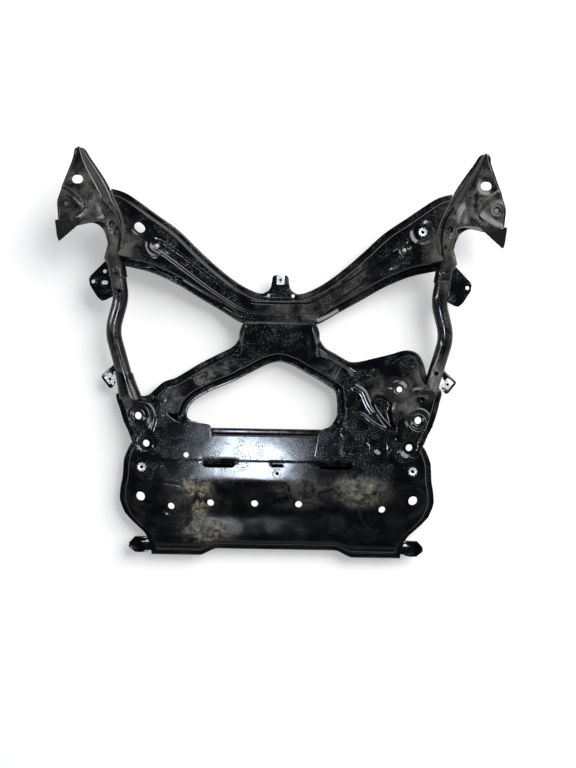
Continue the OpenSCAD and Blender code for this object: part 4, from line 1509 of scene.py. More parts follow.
@dataclass
class RearCorner:
    """A rear corner, which holds a tube's end and laps over the rear plate.

    Its edges are written for the right-hand side, from the brace's seam to the lap.
    """

    side: Side
    outer: list[Point]
    inner: list[Point]
    outer_drop: list[float]
    inner_drop: list[float]
    lower_rows: int
    relief: list[Relief]
    cuts: tuple[Cut, ...] = ()
    access: tuple[Cut, ...] = ()
    columns: int = 90
    valley: tuple[float, ...] = ()
    seat: Point = (323.0, SIZES.plate_front_y + 26)
    seat_r: float = 24.0
    seat_d: float = 5.0
    seat_hole_r: float = 8.5
    link: Point = (303.0, SIZES.plate_front_y - 37)
    link_r: float = 8.0
    lower_clear: float = 4.0
    room_start: float = 0.1
    room_past: float = 20.0

    def placed(self, points: Iterable[Point]) -> list[Point]:
        """Points moved to this corner's side."""
        return list(points) if self.side is Side.RIGHT else flip(points)

    def build(self, paint: Material) -> None:
        """Makes both shells.

        Args:
            paint: Finish of the pieces.
        """
        depth = SIZES.lap_z - SIZES.sheet - SIZES.weld_up
        label = self.side.label
        (sx, sy), (lx, ly) = self.placed([self.seat, self.link])
        relief = [
            Dish(sx, sy, self.seat_r, self.seat_d, 6.0), Ring(sx, sy, self.seat_r + 2, 7, 1.4),
            Ring(sx, sy, 14, 6, 1.2), Dish(lx, ly, 20, 3.0, 5.0), *self.relief,
        ]
        cuts = [Cut.circle(sx, sy, self.seat_hole_r, UPPER_CUT_Z),
                Cut.circle(lx, ly, self.link_r, UPPER_CUT_Z), *self.cuts]
        HatShell(f"{label}_corner_upper_shell", f"{label}_corner_upper", Face.UP,
                 self.placed(self.outer), self.placed(self.inner), SIZES.lap_z,
                 [depth * d for d in self.outer_drop], [depth * d for d in self.inner_drop],
                 steps=14, columns=self.columns, wider=self.valley, relief=relief, cuts=cuts,
                 cutters=[self.tube_room()]).build(paint)
        # The lower shell stops in front of the plate.
        stop = SIZES.plate_front_y + self.lower_clear + SIZES.run
        outer, inner = self.outer[:self.lower_rows], self.inner[:self.lower_rows]
        inner = [(x + max(0.0, stop - y), y + max(0.0, stop - y)) for x, y in inner]
        drop = [SIZES.weld_down - SIZES.sheet] * self.lower_rows
        access = [Cut.circle(sx, sy, self.seat_hole_r + FLARE), *self.access]
        HatShell(f"{label}_corner_lower_shell", f"{label}_corner_lower", Face.DOWN,
                 self.placed(outer), self.placed(inner), 0.0, drop, drop, steps=5, columns=14,
                 proud=LOWER_PROUD, cuts=access, cutters=[self.tube_room()]).build(paint)

    def tube_room(self) -> Object:
        """Room for the tube's end.

        Returns:
            A rod to cut with.
        """
        path = TUBE.points()[-2:]
        path[0] = path[0] + (path[1] - path[0]) * self.room_start
        way = (path[1] - path[0]) / np.linalg.norm(path[1] - path[0])
        line = np.array([path[0], path[1] + way * self.room_past])
        line = line * np.array([self.side.value, 1, 1])
        return rod_object("tube_room", line, SIZES.tube_r + SIZES.gap)


def left_corner() -> RearCorner:
    """The narrower corner on the left.

    Returns:
        The corner.
    """
    s, p = SIZES.seam_y, SIZES.plate_front_y
    outer = [
        LEFT_SEAM[0], (212, s - 114), (240, s - 131), (266, s - 140), (286, s - 157),
        (302, s - 171), (318, s - 174), (334, s - 174), (350, s - 172), (364, s - 170),
        (377, s - 170), (375, s - 186), (368, p + 40), (358, p + 8), (350, p - 8), (338, p - 26),
        (322, p - 61),
    ]
    inner = [
        LEFT_SEAM[1], (176, s - 167), (192, s - 177), (203, s - 188), (209, s - 196),
        (212, s - 204), (214, s - 211), (214, s - 216), (213, s - 220), (211, s - 223),
        (208, s - 226), (202, p + 16), (194, p + 14), (181, p + 12), (167, p + 10), (155, p + 5),
        (150, p - 22),
    ]
    relief: list[Relief] = [
        Bead(((-330, p + 66), (-296, p + 48), (-286, p + 22), (-292, p - 4)), 16, 2.2),
        Bead(((-205, -50), (-240, -72), (-262, -100), (-262, -136)), 12, -2.4),
        Ring(-303, p - 37, 24, 7, 1.4, 180, 140),
    ]
    return RearCorner(Side.LEFT, outer, inner, [1] * 15 + [0, 0], [1] * 12 + [0.5, 0, 0, 0, 0], 14,
                      relief)


def right_corner() -> RearCorner:
    """The wider corner on the right, with its trough, pockets and beads.

    Returns:
        The corner.
    """
    s, p = SIZES.seam_y, SIZES.plate_front_y
    outer = [
        RIGHT_SEAM[0], (166, s - 87), (186, s - 86), (218, s - 78), (260, s - 67), (285, s - 59),
        (306, s - 58), (324, s - 67), (336, s - 88), (344, s - 116), (360, s - 134), (378, s - 151),
        (375, s - 175), (368, p + 40), (358, p + 8), (350, p - 8), (338, p - 26), (322, p - 61),
    ]
    inner = [
        RIGHT_SEAM[1], (129, s - 151), (134, s - 159), (136, s - 168), (137, s - 177),
        (138, s - 185), (138, s - 192), (138, s - 199), (138, s - 206), (137, s - 212),
        (135, s - 218), (132, s - 224), (128, p + 15), (122, p + 10), (114, p + 6), (104, p + 2),
        (94, p - 8), (84, p - 60),
    ]
    s_line: tuple[Point, ...] = (
        (153, -170), (160, -148), (170, -133), (183, -128), (195, -131), (209, -143), (225, -154),
        (244, -162), (268, -167),
    )
    shelf = (*((x + 1, y - 6) for x, y in s_line), (270, -185), (258, -208), (240, -229),
             (156, -229))
    relief: list[Relief] = [
        Pocket(((224, -84), (244, -88), (258, -98), (256, -120), (264, -146), (268, -160),
                (252, -152), (234, -130), (218, -104)), 9, 11),
        Bead(((176, -64), (194, -75), (203, -93), (210, -107), (220, -120)), 22, 1.8),
        Bead(((366, -72), (341, -69), (311, -73), (286, -80), (273, -94), (268, -115), (267, -146)),
             22, 5.0),
        Pocket(shelf, -0.7, 22),
        Bead(s_line, 15, 7.0),
        Bead(tuple((x + 0.5, y - 1.0) for x, y in s_line), 5.0, -1.8),
        Pocket(((158, -198), (202, -197), (202, -214), (158, -215)), 9, 6),
        Dish(236, -204, 19, 4.0, 16),
        Bead(((156, -229), (240, -229), (258, -208), (270, -184)), 7, 1.8),
        Bead(((352, -36), (347, -62), (342, -86)), 36, 6.0),
        Ring(303, p - 37, 25, 6, 2.4, 200, 150),
    ]
    cuts = (Cut.circle(278, s - 148, 13.0, UPPER_CUT_Z), Cut.circle(331, s - 169, 5.0, UPPER_CUT_Z))
    access = (Cut.circle(283, s - 147, 17.0),)
    return RearCorner(Side.RIGHT, outer, inner, [1] * 16 + [0, 0], [1] * 13 + [0.5, 0, 0, 0, 0], 15,
                      relief, cuts, access, columns=110, valley=(0, 1.5, 8, 15, 15, 15))


@dataclass(frozen=True)
class PlateRow:
    """One row of the rear plate: place, half width, share of the depth, step below the deck."""

    y: float
    half: float
    share: float
    step: float


@dataclass
class RearPlate:
    """The wide plate at the rear: an upper and a lower shell."""

    band: float = 0.5
    trough: float = 12.0
    notch: float = 16.0
    notch_half: float = 135.0
    notch_fade: float = 45.0
    notch_reach: float = 60.0
    cut_z: Point = (30.0, 120.0)
    slot_x: float = 134.0
    slot_y: float = SIZES.plate_front_y - 83
    slot_half: float = 40.0
    slot_front: float = 7.5
    slot_deep: float = 15.0
    slot_corner: float = 12.0
    pip: Point = (13.0, 5.0)
    steep: float = 0.45
    soft_mm: float = 7.0
    soft_in: float = 30.0
    soft_from: float = SIZES.trough_y + 25
    body_hole: Triple = (315.0, SIZES.trough_y - 25, 11.0)
    gear_outer: Triple = (244.0, SIZES.trough_y - 47, 8.0)
    gear_inner: Triple = (51.0, SIZES.trough_y - 38, 8.0)
    gear_extra: Triple = (-153.0, SIZES.trough_y - 38, 8.0)
    drain: Triple = (-210.0, SIZES.plate_front_y - 62, 6.0)
    link: Triple = (303.0, SIZES.plate_front_y - 37, 8.0)
    insert: Triple = (312.0, SIZES.plate_front_y - 92, 5.2)
    centre_insert: Triple = (0.0, SIZES.plate_front_y - 102, 5.2)

    def rows(self) -> list[PlateRow]:
        """Rows from the front edge to the rear edge.

        Returns:
            The rows.
        """
        f, t, r, w = SIZES.plate_front_y, SIZES.trough_y, SIZES.rear_y, SIZES.plate_hw
        flange, wall, band, low = SIZES.flange, SIZES.flange + SIZES.run, self.band, self.trough
        return [PlateRow(*row) for row in (
            (f, w - 71, 0, 0), (f - flange, w - 63, 0, 0), (f - wall, w - 46, 1, 0),
            (f - 40, w - 23, 1, 0), (f - 72, w - 10, 1, 0), (f - 76, w - 9, 1, band),
            (f - 121, w - 7, 1, band), (t, w - 3, 1, band + 2), (t - 34, w, 1, low - 4),
            (t - 66, w - 13, 1, low), (t - 90, w - 36, 1, low), (r + 52, w - 61, 1, low),
            (r + 33, w - 70, 1, low + 1), (r + wall, w - 74, 0.8, low), (r + flange, w - 77, 0, 0),
            (r, w - 78, 0, 0),
        )]

    def setback(self, x: Array, y: Array) -> Array:
        """How far the rear edge is set back between the two corners.

        Args:
            x: Places in plan.
            y: Places in plan.

        Returns:
            The distance at each place.
        """
        middle = 1 - ease((np.abs(x) - self.notch_half) / self.notch_fade)
        near = 1 - ease((y - SIZES.rear_y) / self.notch_reach)
        return self.notch * middle * near

    def profile(self, face: Face, spacing: float) -> tuple[Array, Array, Array]:
        """Rows of points, closer where the plate is steep.

        Args:
            face: Upper or lower shell.
            spacing: Distance between rows that are level.

        Returns:
            Place along Y, half width, and height above the flange or share of the depth.
        """
        rows = self.rows()
        depth = SIZES.deck_z - SIZES.sheet - SIZES.weld_up
        spans = []
        for a, b in zip(rows[:-1], rows[1:]):
            level = a.share == b.share and a.step == b.step
            count = max(2, int(abs(a.y - b.y) / (spacing * (1.0 if level else self.steep))))
            t = np.arange(count) / count
            za, zb = (max(depth * r.share - r.step, 0.0) if face is Face.UP else r.share
                      for r in (a, b))
            spans.append([first + (last - first) * share for first, last, share in (
                (a.y, b.y, t), (a.half, b.half, t), (za, zb, ease(t)))])
        last = (rows[-1].y, rows[-1].half, 0.0)
        y, half, top = (np.append(np.concatenate(c), end) for c, end in zip(zip(*spans), last))
        apart = (y[:, None] - y[None, :]) / self.soft_mm
        soft = np.exp(-0.5 * apart ** 2) * np.gradient(y)[None, :]
        ends = np.minimum(y[0] - y, y - y[-1])
        fade = ease((ends - self.soft_in) / self.soft_in) * (y < self.soft_from)
        top = top + ((soft @ top) / soft.sum(1) - top) * fade
        return y, (soft @ half) / soft.sum(1), top

    def outer_face(self, face: Face, spacing: float) -> Array:
        """Points of a shell's outer face.

        Args:
            face: Upper or lower shell.
            spacing: Distance between points, apart from walls and rims.

        Returns:
            The points, rows by columns.
        """
        y, half, top = self.profile(face, spacing)
        side = SideColumns.make(SIZES.flange, SIZES.run)
        wall = SIZES.flange + SIZES.run
        inner = max(8, int(2 * (SIZES.plate_hw - wall) / spacing))
        middle = np.linspace(-1, 1, inner + 2)[1:-1]
        x = np.concatenate([side.dist[None, :] - half[:, None],
                            middle[None, :] * (half - wall)[:, None],
                            (half[:, None] - side.dist[None, :])[:, ::-1]], 1)
        rim = np.concatenate([side.share, np.ones(inner), side.share[::-1]])[None, :]
        fall = np.concatenate([side.fall, np.zeros(inner), side.fall[::-1]])[None, :]
        yy = np.repeat(y[:, None], x.shape[1], 1)
        from_end = np.minimum(np.abs(y - y[0]), np.abs(y - y[-1]))
        fall = np.maximum(fall, np.interp(from_end, [0, 0.4, 1.4], [1.1, 0.3, 0])[:, None])
        if face is Face.UP:
            z = SIZES.weld_up + SIZES.sheet + top[:, None] * rim - fall
            for shape in self.relief():
                z = z + shape.height(x, yy) * rim
        else:
            z = (SIZES.weld_down - SIZES.sheet) * (1 - top[:, None] * rim) + fall
        return np.stack([x, yy + self.setback(x, yy), z], -1)

    def relief(self) -> list[Relief]:
        """What is pressed into the upper shell.

        Returns:
            The shapes.
        """
        t = SIZES.trough_y
        shapes: list[Relief] = [Louvre(s * self.slot_x, self.slot_y + 7, 78, 14, 0.5) for s in BOTH]
        for s in BOTH:
            pad = ((208, 4), (196, -34), (198, -66), (222, -92), (262, -90), (330, -50), (338, -6),
                   (280, 10))
            edge = ((216, 8), (197, -30), (199, -66), (226, -96))
            shapes += [Dish(s * hole[0], hole[1], 24, 0.8, 9.0)
                       for hole in (self.body_hole, self.gear_outer)]
            shapes += [Pocket(tuple((s * x, t + y) for x, y in pad), -3.0, 18),
                       Bead(tuple((s * x, t + y) for x, y in edge), 16, 2.0)]
        return [*shapes, Louvre(0, self.slot_y + 4, 24, 9, 0.6)]

    def holes(self, wider: float) -> list[Cut]:
        """Bolt holes, made wider by a distance in the lower shell.

        Args:
            wider: The distance.

        Returns:
            The holes.
        """
        paired = (self.body_hole, self.gear_outer, self.gear_inner, self.link)
        places = [self.gear_extra, self.drain, *((s * x, y, r) for x, y, r in paired for s in BOTH)]
        return [Cut.circle(x, y, r + wider) for x, y, r in places]

    def slot_cut(self, x: float) -> Cut:
        """A long slot, straight in front and with round corners at the rear.

        Args:
            x: Place of its middle.

        Returns:
            The slot.
        """
        start, front = x + self.slot_half - self.slot_corner, self.slot_y + self.slot_front
        right = [(start + self.slot_corner * math.cos(a), front - self.slot_deep * math.sin(a))
                 for a in np.linspace(0, math.pi / 2, 8)]
        left = [(2 * x - px, py) for px, py in right[::-1]]
        return Cut(tuple(right + left), *self.cut_z)

    def build(self, paint: Material) -> None:
        """Makes both shells.

        Args:
            paint: Finish of the pieces.
        """
        ix, iy, ir = self.insert
        px, py = self.pip
        pip = tuple((x, self.slot_y + y) for x, y in ((-px, -py), (px, -py), (px, py), (-px, py)))
        cuts = self.holes(0.0) + [self.slot_cut(s * self.slot_x) for s in BOTH]
        cuts += [Cut.circle(s * ix, iy, ir, self.cut_z[0]) for s in BOTH]
        cuts += [Cut.circle(*self.centre_insert, self.cut_z[0]), Cut(pip, *self.cut_z)]
        for level, face, spacing, through in (("upper", Face.UP, 3.0, cuts),
                                              ("lower", Face.DOWN, 9.0, self.holes(FLARE))):
            obj = pressing(f"plate_{level}_shell", self.outer_face(face, spacing), face, through)
            dress(obj, paint, f"rear_plate_{level}")


@dataclass(frozen=True)
class HornRow:
    """One row of a horn: outer and inner point, fall of the top, skirt depths, wider slope."""

    outer: Point
    inner: Point
    fall: float
    skirt: float
    seat: float
    slope: float = 0.0


@dataclass
class Horn:
    """A pressed mounting bracket on the end of an arm, with a neck over the tube.

    Its rows, relief and lip are written for the right-hand side.
    """

    side: Side
    flange: float = 4.0
    run: float = 6.0
    steps: int = 8
    columns: int = 40
    socket_l: float = 22.0
    slot_l: float = 5.0
    slot_r: float = 9.5
    bush_hole_r: float = 8.5
    lip_t: float = SIZES.sheet - 0.4
    lip_slope: float = 0.62

    def rows(self) -> list[HornRow]:
        """Rows from the tip to the neck.

        Returns:
            The rows.
        """
        x, y, ox = SIZES.horn_x, SIZES.horn_y, SIZES.horn_out_x
        ax, ay, f = SIZES.arm_end_x, SIZES.arm_front_y, SIZES.front_y
        seat = SIZES.horn_top_z - SIZES.sheet - SIZES.arm_top_z - SIZES.gap
        return [HornRow(*row) for row in (
            ((x + 6, f), (x - 8, f - 0.5), 0, 10, 10),
            ((x + 11, f - 6), (x - 15, f - 5), 0, 11, 11, 2),
            ((x + 14, f - 21), (x - 25, f - 21), 0, 14, 14, 5),
            ((x + 27, y + 19), (x - 42, y + 28), 0, 18, 18, 12),
            ((ox - 10, y - 15), (x - 60, y + 1), 0, 18, 18, 16),
            ((ox, y - 45), (ax + 1, ay - 8), 0, 18, seat, 16),
            ((ox - 1, y - 77), (ax - 7, ay - 30), 0, 22, seat, 10),
            ((ox - 2, y - 99), (ax - 13, ay - 42), 0, 40, seat, 4),
            ((x + 18, y - 98), (ax - 19, ay - 56), 0, 40, seat),
            ((x - 12, y - 91), (ax - 24, ay - 70), 1, 34, seat - 1),
            ((ax + 41, ay - 78), (ax - 28, ay - 84), 3, 30, seat - 3),
            ((ax + 24, ay - 88), (ax - 30, ay - 98), 6, 26, seat - 6),
            ((ax + 14, ay - 105), (ax - 30, ay - 115), 10, 24, seat - 10),
            ((ax + 9, ay - 124), (ax - 27, ay - 135), 14, 24, seat - 14),
        )]

    @staticmethod
    def relief() -> list[Relief]:
        """What is pressed into the top.

        Returns:
            The shapes.
        """
        x, y = SIZES.horn_x, SIZES.horn_y
        return [
            Dish(x, y, 20, 1.4, 8.0), Ring(*SIZES.bush, 15, 7, 1.0),
            Pocket(((508, 372), (490, 371), (468, 358), (450, 342), (446, 326), (466, 311),
                    (492, 298), (512, 300), (516, 340)), 5.0, 18),
            Bead(((494, 378), (468, 364), (447, 346), (437, 330)), 16, 1.4),
            Pocket(((505, 284), (474, 298), (445, 314), (424, 336), (413, 352), (404, 330),
                    (402, 300), (420, 270), (470, 240), (512, 240)), 7.0, 30),
            Dish(398, 352, 5, 3.0, 3.0), Dish(378, 291, 6.5, 7.0, 2.5),
            Bead(((x - 36, y - 40), (x - 52, y - 62), (x - 62, y - 88), (x - 70, y - 116)), 24,
                 2.0),
        ]

    def outer_face(self) -> Array:
        """Points of the outer face, rows by columns.

        Returns:
            The points.
        """
        rows = self.rows()
        a, b = (spline([getattr(r, k) for r in rows], self.steps) for k in ("outer", "inner"))
        fall, skirt, seat, slope = (between([getattr(r, k) for r in rows], self.steps)
                                    for k in ("fall", "skirt", "seat", "slope"))
        side = SideColumns.make(self.flange, self.run)
        u = side.across(a, b, self.columns, np.zeros(len(a)), slope)
        z = SIZES.horn_top_z - fall[:, None] + side.below(skirt, seat, self.columns)
        share = u / np.linalg.norm(b - a, axis=1)[:, None]
        flat = a[:, None, :] + (b - a)[:, None, :] * share[:, :, None]
        return self.with_neck(pressed(flat, z, self.relief()), len(side.dist))

    def with_neck(self, body: Array, side_count: int) -> Array:
        """Adds the neck that closes over the tube's front end.

        Args:
            body: Rows of the horn.
            side_count: Columns in one flange and wall.

        Returns:
            Rows of the horn and its neck.
        """
        wall = np.linspace(0, 3, side_count)
        top = np.linspace(3, 4, self.columns + 2)[1:-1]
        turn = np.concatenate([wall, top, 7 - wall[::-1]]) / 7 * math.pi
        way = TUBE.points()[1] - TUBE.points()[0]
        y1 = TUBE.front[1]
        arches = []
        # Place along Y, how far out, how far up and how much wider than the tube
        start = (SIZES.arm_rear_y + 16, 3, 9, 1.0)
        for y, dx, dz, r in (start, (y1, 0, 0, 0), (y1 - self.socket_l, 0, 0, 0)):
            x = TUBE.front[0] + (y - y1) * way[0] / way[1] + dx
            radius = SIZES.tube_r + SIZES.gap * 3 + SIZES.sheet + r
            arches.append(np.column_stack([x + radius * np.cos(turn), np.full(len(turn), y),
                                           TUBE.height(y) + dz + radius * np.sin(turn)]))
        shares = np.linspace(0, 1, 9)[1:]
        rows = [*body, *(body[-1] + (arches[0] - body[-1]) * s for s in ease(shares))]
        for before, after in zip(arches[:-1], arches[1:]):
            rows += [before + (after - before) * t for t in np.linspace(0, 1, 5)[1:]]
        return np.array(rows)

    def lip_face(self) -> Array:
        """Points of the lip that is bent down at the outer end, rows by columns.

        Returns:
            The points.
        """
        x, y, ox = SIZES.horn_x, SIZES.horn_y, SIZES.horn_out_x
        across = np.linspace(0, 1, 40)[:, None]
        down = np.array([0, 0.03, 0.07, 0.12, 0.18, 0.25, 0.33, 0.42, 0.52, 0.62, 0.72, 0.82, 0.9,
                         0.95, 0.98, 1])[None, :]
        xs = x - 12 + (ox - 1 - x + 12) * across
        edge = np.interp(xs, [x - 12, ox - 8, ox - 3, ox - 1], [y - 91, y - 132, y - 135, y - 126])
        bend = y - 85 - 6 * ease((xs - x) / 50)
        ys = bend + (edge - bend) * down
        fallen = np.maximum(bend - ys - 3, 0.0)
        z = SIZES.horn_top_z - 3.5 - self.lip_slope * fallen - 1.5 * ease((down - 0.9) / 0.1)
        return np.stack([np.repeat(xs, down.shape[1], 1), ys, z], -1)

    def build(self, paint: Material) -> None:
        """Makes the horn with its mounting slot and bush hole, and its lip.

        Args:
            paint: Finish of the pieces.
        """
        label, sign = self.side.label, self.side.value
        mirror = np.array([sign, 1, 1])
        cuts = [Cut.slot(sign * SIZES.horn_x, SIZES.horn_y, self.slot_l, self.slot_r),
                Cut.circle(sign * SIZES.bush[0], SIZES.bush[1], self.bush_hole_r, 100)]
        bracket = pressing(f"{label}_horn_bracket", self.outer_face() * mirror, Face.UP, cuts)
        lip = pressing(f"{label}_horn_lip", self.lip_face() * mirror, Face.UP, thickness=self.lip_t)
        for obj in (bracket, lip):
            dress(obj, paint, f"{label}_horn")


def flat_plate(name: str, cuts: Sequence[Cut], holes: Sequence[Cut], round_mm: float) -> Object:
    """Flat pieces in one object, with their holes and rounded edges.

    Args:
        name: Name of the object.
        cuts: Outline and heights of each piece.
        holes: What is cut out of them.
        round_mm: Width of the rounding.

    Returns:
        The object, shaded smooth.
    """
    obj = prism_mesh(name, cuts)
    if holes:
        cut_holes(obj, [prism_mesh(name + "_holes", holes)])
    bevel = obj.modifiers.new("edges", "BEVEL")
    bevel.width, bevel.segments, bevel.limit_method = round_mm * MM, 2, "ANGLE"
    apply_modifiers(obj)
    smooth_faces(obj)
    return obj


@dataclass
class SmallBrackets:
    """The front tab, the arms off the tubes, the rear lugs, and the spring clips pushed on them."""

    thick: float = 3.0
    clip_t: float = 1.2
    clip_w: float = 18.0
    clip_l: float = 22.0
    nut_r: float = 3.2
    clip_at: Point = (392.5, -55.0)
    clip_turn: float = -35.0
    tab_clip_y: float = 181.5
    tab_hole_r: float = 3.6
    lug_h: float = 13.0

    def build(self, paint: Material, zinc: Material) -> None:
        """Makes the tab, the arms, the lugs and the clips.

        Args:
            paint: Finish of the pieces.
            zinc: Finish of the clips.
        """
        tab_z = SIZES.weld_up + SIZES.sheet + SIZES.gap
        arm_z = TUBE.height(self.clip_at[1]) - 8
        half = spline([(0, 141), (30, 141.5), (40, 143), (43, 147.5), (35, 152), (27, 157),
                       (22, 166), (19.8, 178), (18.6, 187), (16, 191), (11, 192.5), (0, 192.5)],
                      6).tolist()
        ring = tuple(tuple(p) for p in half + flip(half[-2:0:-1]))
        tab = flat_plate("front_tab", [Cut(ring, tab_z, tab_z + self.thick)],
                         [Cut.circle(x, y, self.tab_hole_r) for x, y in TAB_HOLES], 0.9)
        dress(tab, paint, "centre_tab")
        arm = ((377, -14), (384, -21), (411, -46), (413, -50), (411, -55), (395, -75), (391, -77),
               (387, -75), (380, -66), (380, -61), (388, -49), (379, -39), (376, -36))
        for side in Side:
            label = side.label
            cut = Cut(sided(arm, side), arm_z, arm_z + self.thick)
            dress(flat_plate(f"{label}_clip_arm", [cut], [], 0.8), paint, f"{label}_clip_bracket")
        self.rear_lugs(paint)
        self.clips(zinc, tab_z, arm_z)

    def rear_lugs(self, paint: Material) -> None:
        """Makes the lugs at the rear corners: a flat base with an upstand round its outer edge.

        Args:
            paint: Finish of the pieces.
        """
        z = SIZES.weld_down - SIZES.sheet - SIZES.gap - self.thick
        base = ((286, -421), (329, -421), (341, -434), (342, -444), (327, -456), (313, -457),
                (298, -454), (286, -452))
        upstand = ((297, -421), *base[1:-1], (298, -450.5), (313, -453.3), (325.5, -452.3),
                   (338.3, -442.8), (337.4, -435.3), (327.4, -424.6), (297, -424.6))
        for side in Side:
            label = side.label
            cuts = [Cut(sided(base, side), z, z + self.thick),
                    Cut(sided(upstand, side), z + self.thick - 0.1, z + self.lug_h)]
            slot = Cut.slot(side.value * 301, -432, 4.0, 2.8)
            dress(flat_plate(f"{label}_rear_lug", cuts, [slot], 0.7), paint, f"{label}_rear_tab")

    def clips(self, zinc: Material, tab_z: float, arm_z: float) -> None:
        """Makes the clips on the tab and the arms, with the collars of their nuts.

        Args:
            zinc: Finish of the clips.
            tab_z: Underside of the tab.
            arm_z: Underside of the arms.
        """
        x, y = self.clip_at
        places = [((0.0, self.tab_clip_y), 0.0, tab_z)]
        places += [((s * x, y), s * self.clip_turn, arm_z) for s in BOTH]
        leaves, holes, rings = [], [], []
        w, l, r = self.clip_w / 2, self.clip_l / 2, self.nut_r
        for at, turn, z in places:
            leaf = turned_plan(((w, 2 - l), (w, l), (-w, l), (-w, 2 - l), (2 - w, -l), (w - 2, -l)),
                               at, turn)
            fold = turned_plan(((w, l + 0.2), (w, l + 1.4), (-w, l + 1.4), (-w, l + 0.2)), at, turn)
            top, low = z + self.thick + SIZES.gap, z - SIZES.gap
            leaves += [Cut(leaf, top, top + self.clip_t), Cut(leaf, low - self.clip_t, low),
                       Cut(fold, low - self.clip_t, top + self.clip_t)]
            holes.append(Cut.circle(*at, r, top - 0.5, top + 9))
            rings.append(Turned(*at, ((r + 0.3, top + 1.3), (r + 0.3, top + 2.2),
                                      (r + 1.6, top + 2.2), (r + 2.4, top + 1.3))))
        for obj in (flat_plate("spring_clips", leaves, holes, 0.3),
                    turned_object("spring_clip_collars", rings, 32)):
            dress(obj, zinc, "clip_nuts", slot=Slot.ZINC)


def sided(plan: Sequence[Point], side: Side) -> tuple[Point, ...]:
    """An outline of the right-hand side moved to a side, with its turn kept."""
    return tuple(plan) if side is Side.RIGHT else tuple(flip(plan[::-1]))


@dataclass
class TubeSocket:
    """The arched collar of the left corner, over the rear end of its tube.

    Each row is a place along Y, how much wider than the tube it is and how much higher.
    """

    rows: tuple[Triple, ...] = (
        (-40.0, 0.0, 0.0), (-42.0, 0.8, 0.0), (-56.0, 1.2, 0.0), (-70.0, 2.6, 0.3),
        (-86.0, 5.0, 0.8), (-102.0, 7.0, 1.2),
    )
    arch_deg: Point = (-12.0, 192.0)

    def build(self, paint: Material) -> None:
        """Makes the collar.

        Args:
            paint: Finish of the pieces.
        """
        y, wide, higher = (between(column, 5) for column in zip(*self.rows))
        turn = np.linspace(*np.radians(self.arch_deg), 60)
        r = SIZES.tube_r + SIZES.gap + SIZES.sheet
        x = TUBE.x_at(y)[:, None] + (r + wide)[:, None] * np.cos(turn)
        z = (TUBE.height(y) + higher)[:, None] + r * np.sin(turn)
        outer = np.stack([-x, np.repeat(y[:, None], len(turn), 1), z], -1)
        obj = pressing("left_tube_collar", outer, Face.UP, thickness=SIZES.sheet - 0.2)
        dress(obj, paint, "left_tube_socket")


def node_tree(name: str, inputs: Sequence[tuple[str, str]]) -> tuple[Tree, dict[str, str]]:
    """A new tree of geometry nodes with named inputs.

    Args:
        name: Name of the tree.
        inputs: Name and socket type of each input after the geometry.

    Returns:
        The tree, and the identifier of each named input.
    """
    tree = bpy.data.node_groups.new(name, "GeometryNodeTree")
    tree.interface.new_socket("Geometry", in_out="INPUT", socket_type="NodeSocketGeometry")
    made = {key: tree.interface.new_socket(key, in_out="INPUT", socket_type=kind).identifier
            for key, kind in inputs}
    tree.interface.new_socket("Geometry", in_out="OUTPUT", socket_type="NodeSocketGeometry")
    return tree, made


def end_tree(tree: Tree, instances: Socket, material: Socket) -> None:
    """Realizes the instances, shades them smooth and gives them their material.

    Args:
        tree: The tree.
        instances: What the tree has set.
        material: Their finish.
    """
    real = add_node(tree, "GeometryNodeRealizeInstances", in_0=instances).outputs[0]
    smooth = add_node(tree, "GeometryNodeSetShadeSmooth", in_0=real).outputs[0]
    done = add_node(tree, "GeometryNodeSetMaterial", in_0=smooth, Material=material).outputs[0]
    add_node(tree, "NodeGroupOutput", in_0=done)


def grow(name: str, verts: Array, edges: Sequence[tuple[int, int]], tree: Tree,
         values: dict[str, object]) -> Object:
    """A mesh grown by geometry nodes from points and lines.

    Args:
        name: Name of the object.
        verts: Points in millimetres.
        edges: Pairs of points that are joined.
        tree: The node tree.
        values: Value of each input, by the socket's identifier.

    Returns:
        The object, with its modifier turned into mesh.
    """
    mesh = bpy.data.meshes.new(name)
    mesh.from_pydata((np.asarray(verts) * MM).tolist(), list(edges), [])
    obj = bpy.data.objects.new(name, mesh)
    bpy.context.scene.collection.objects.link(obj)
    nodes = obj.modifiers.new("grow", "NODES")
    nodes.node_group = tree
    for key, value in values.items():
        nodes[key] = value
    apply_modifiers(obj)
    return obj


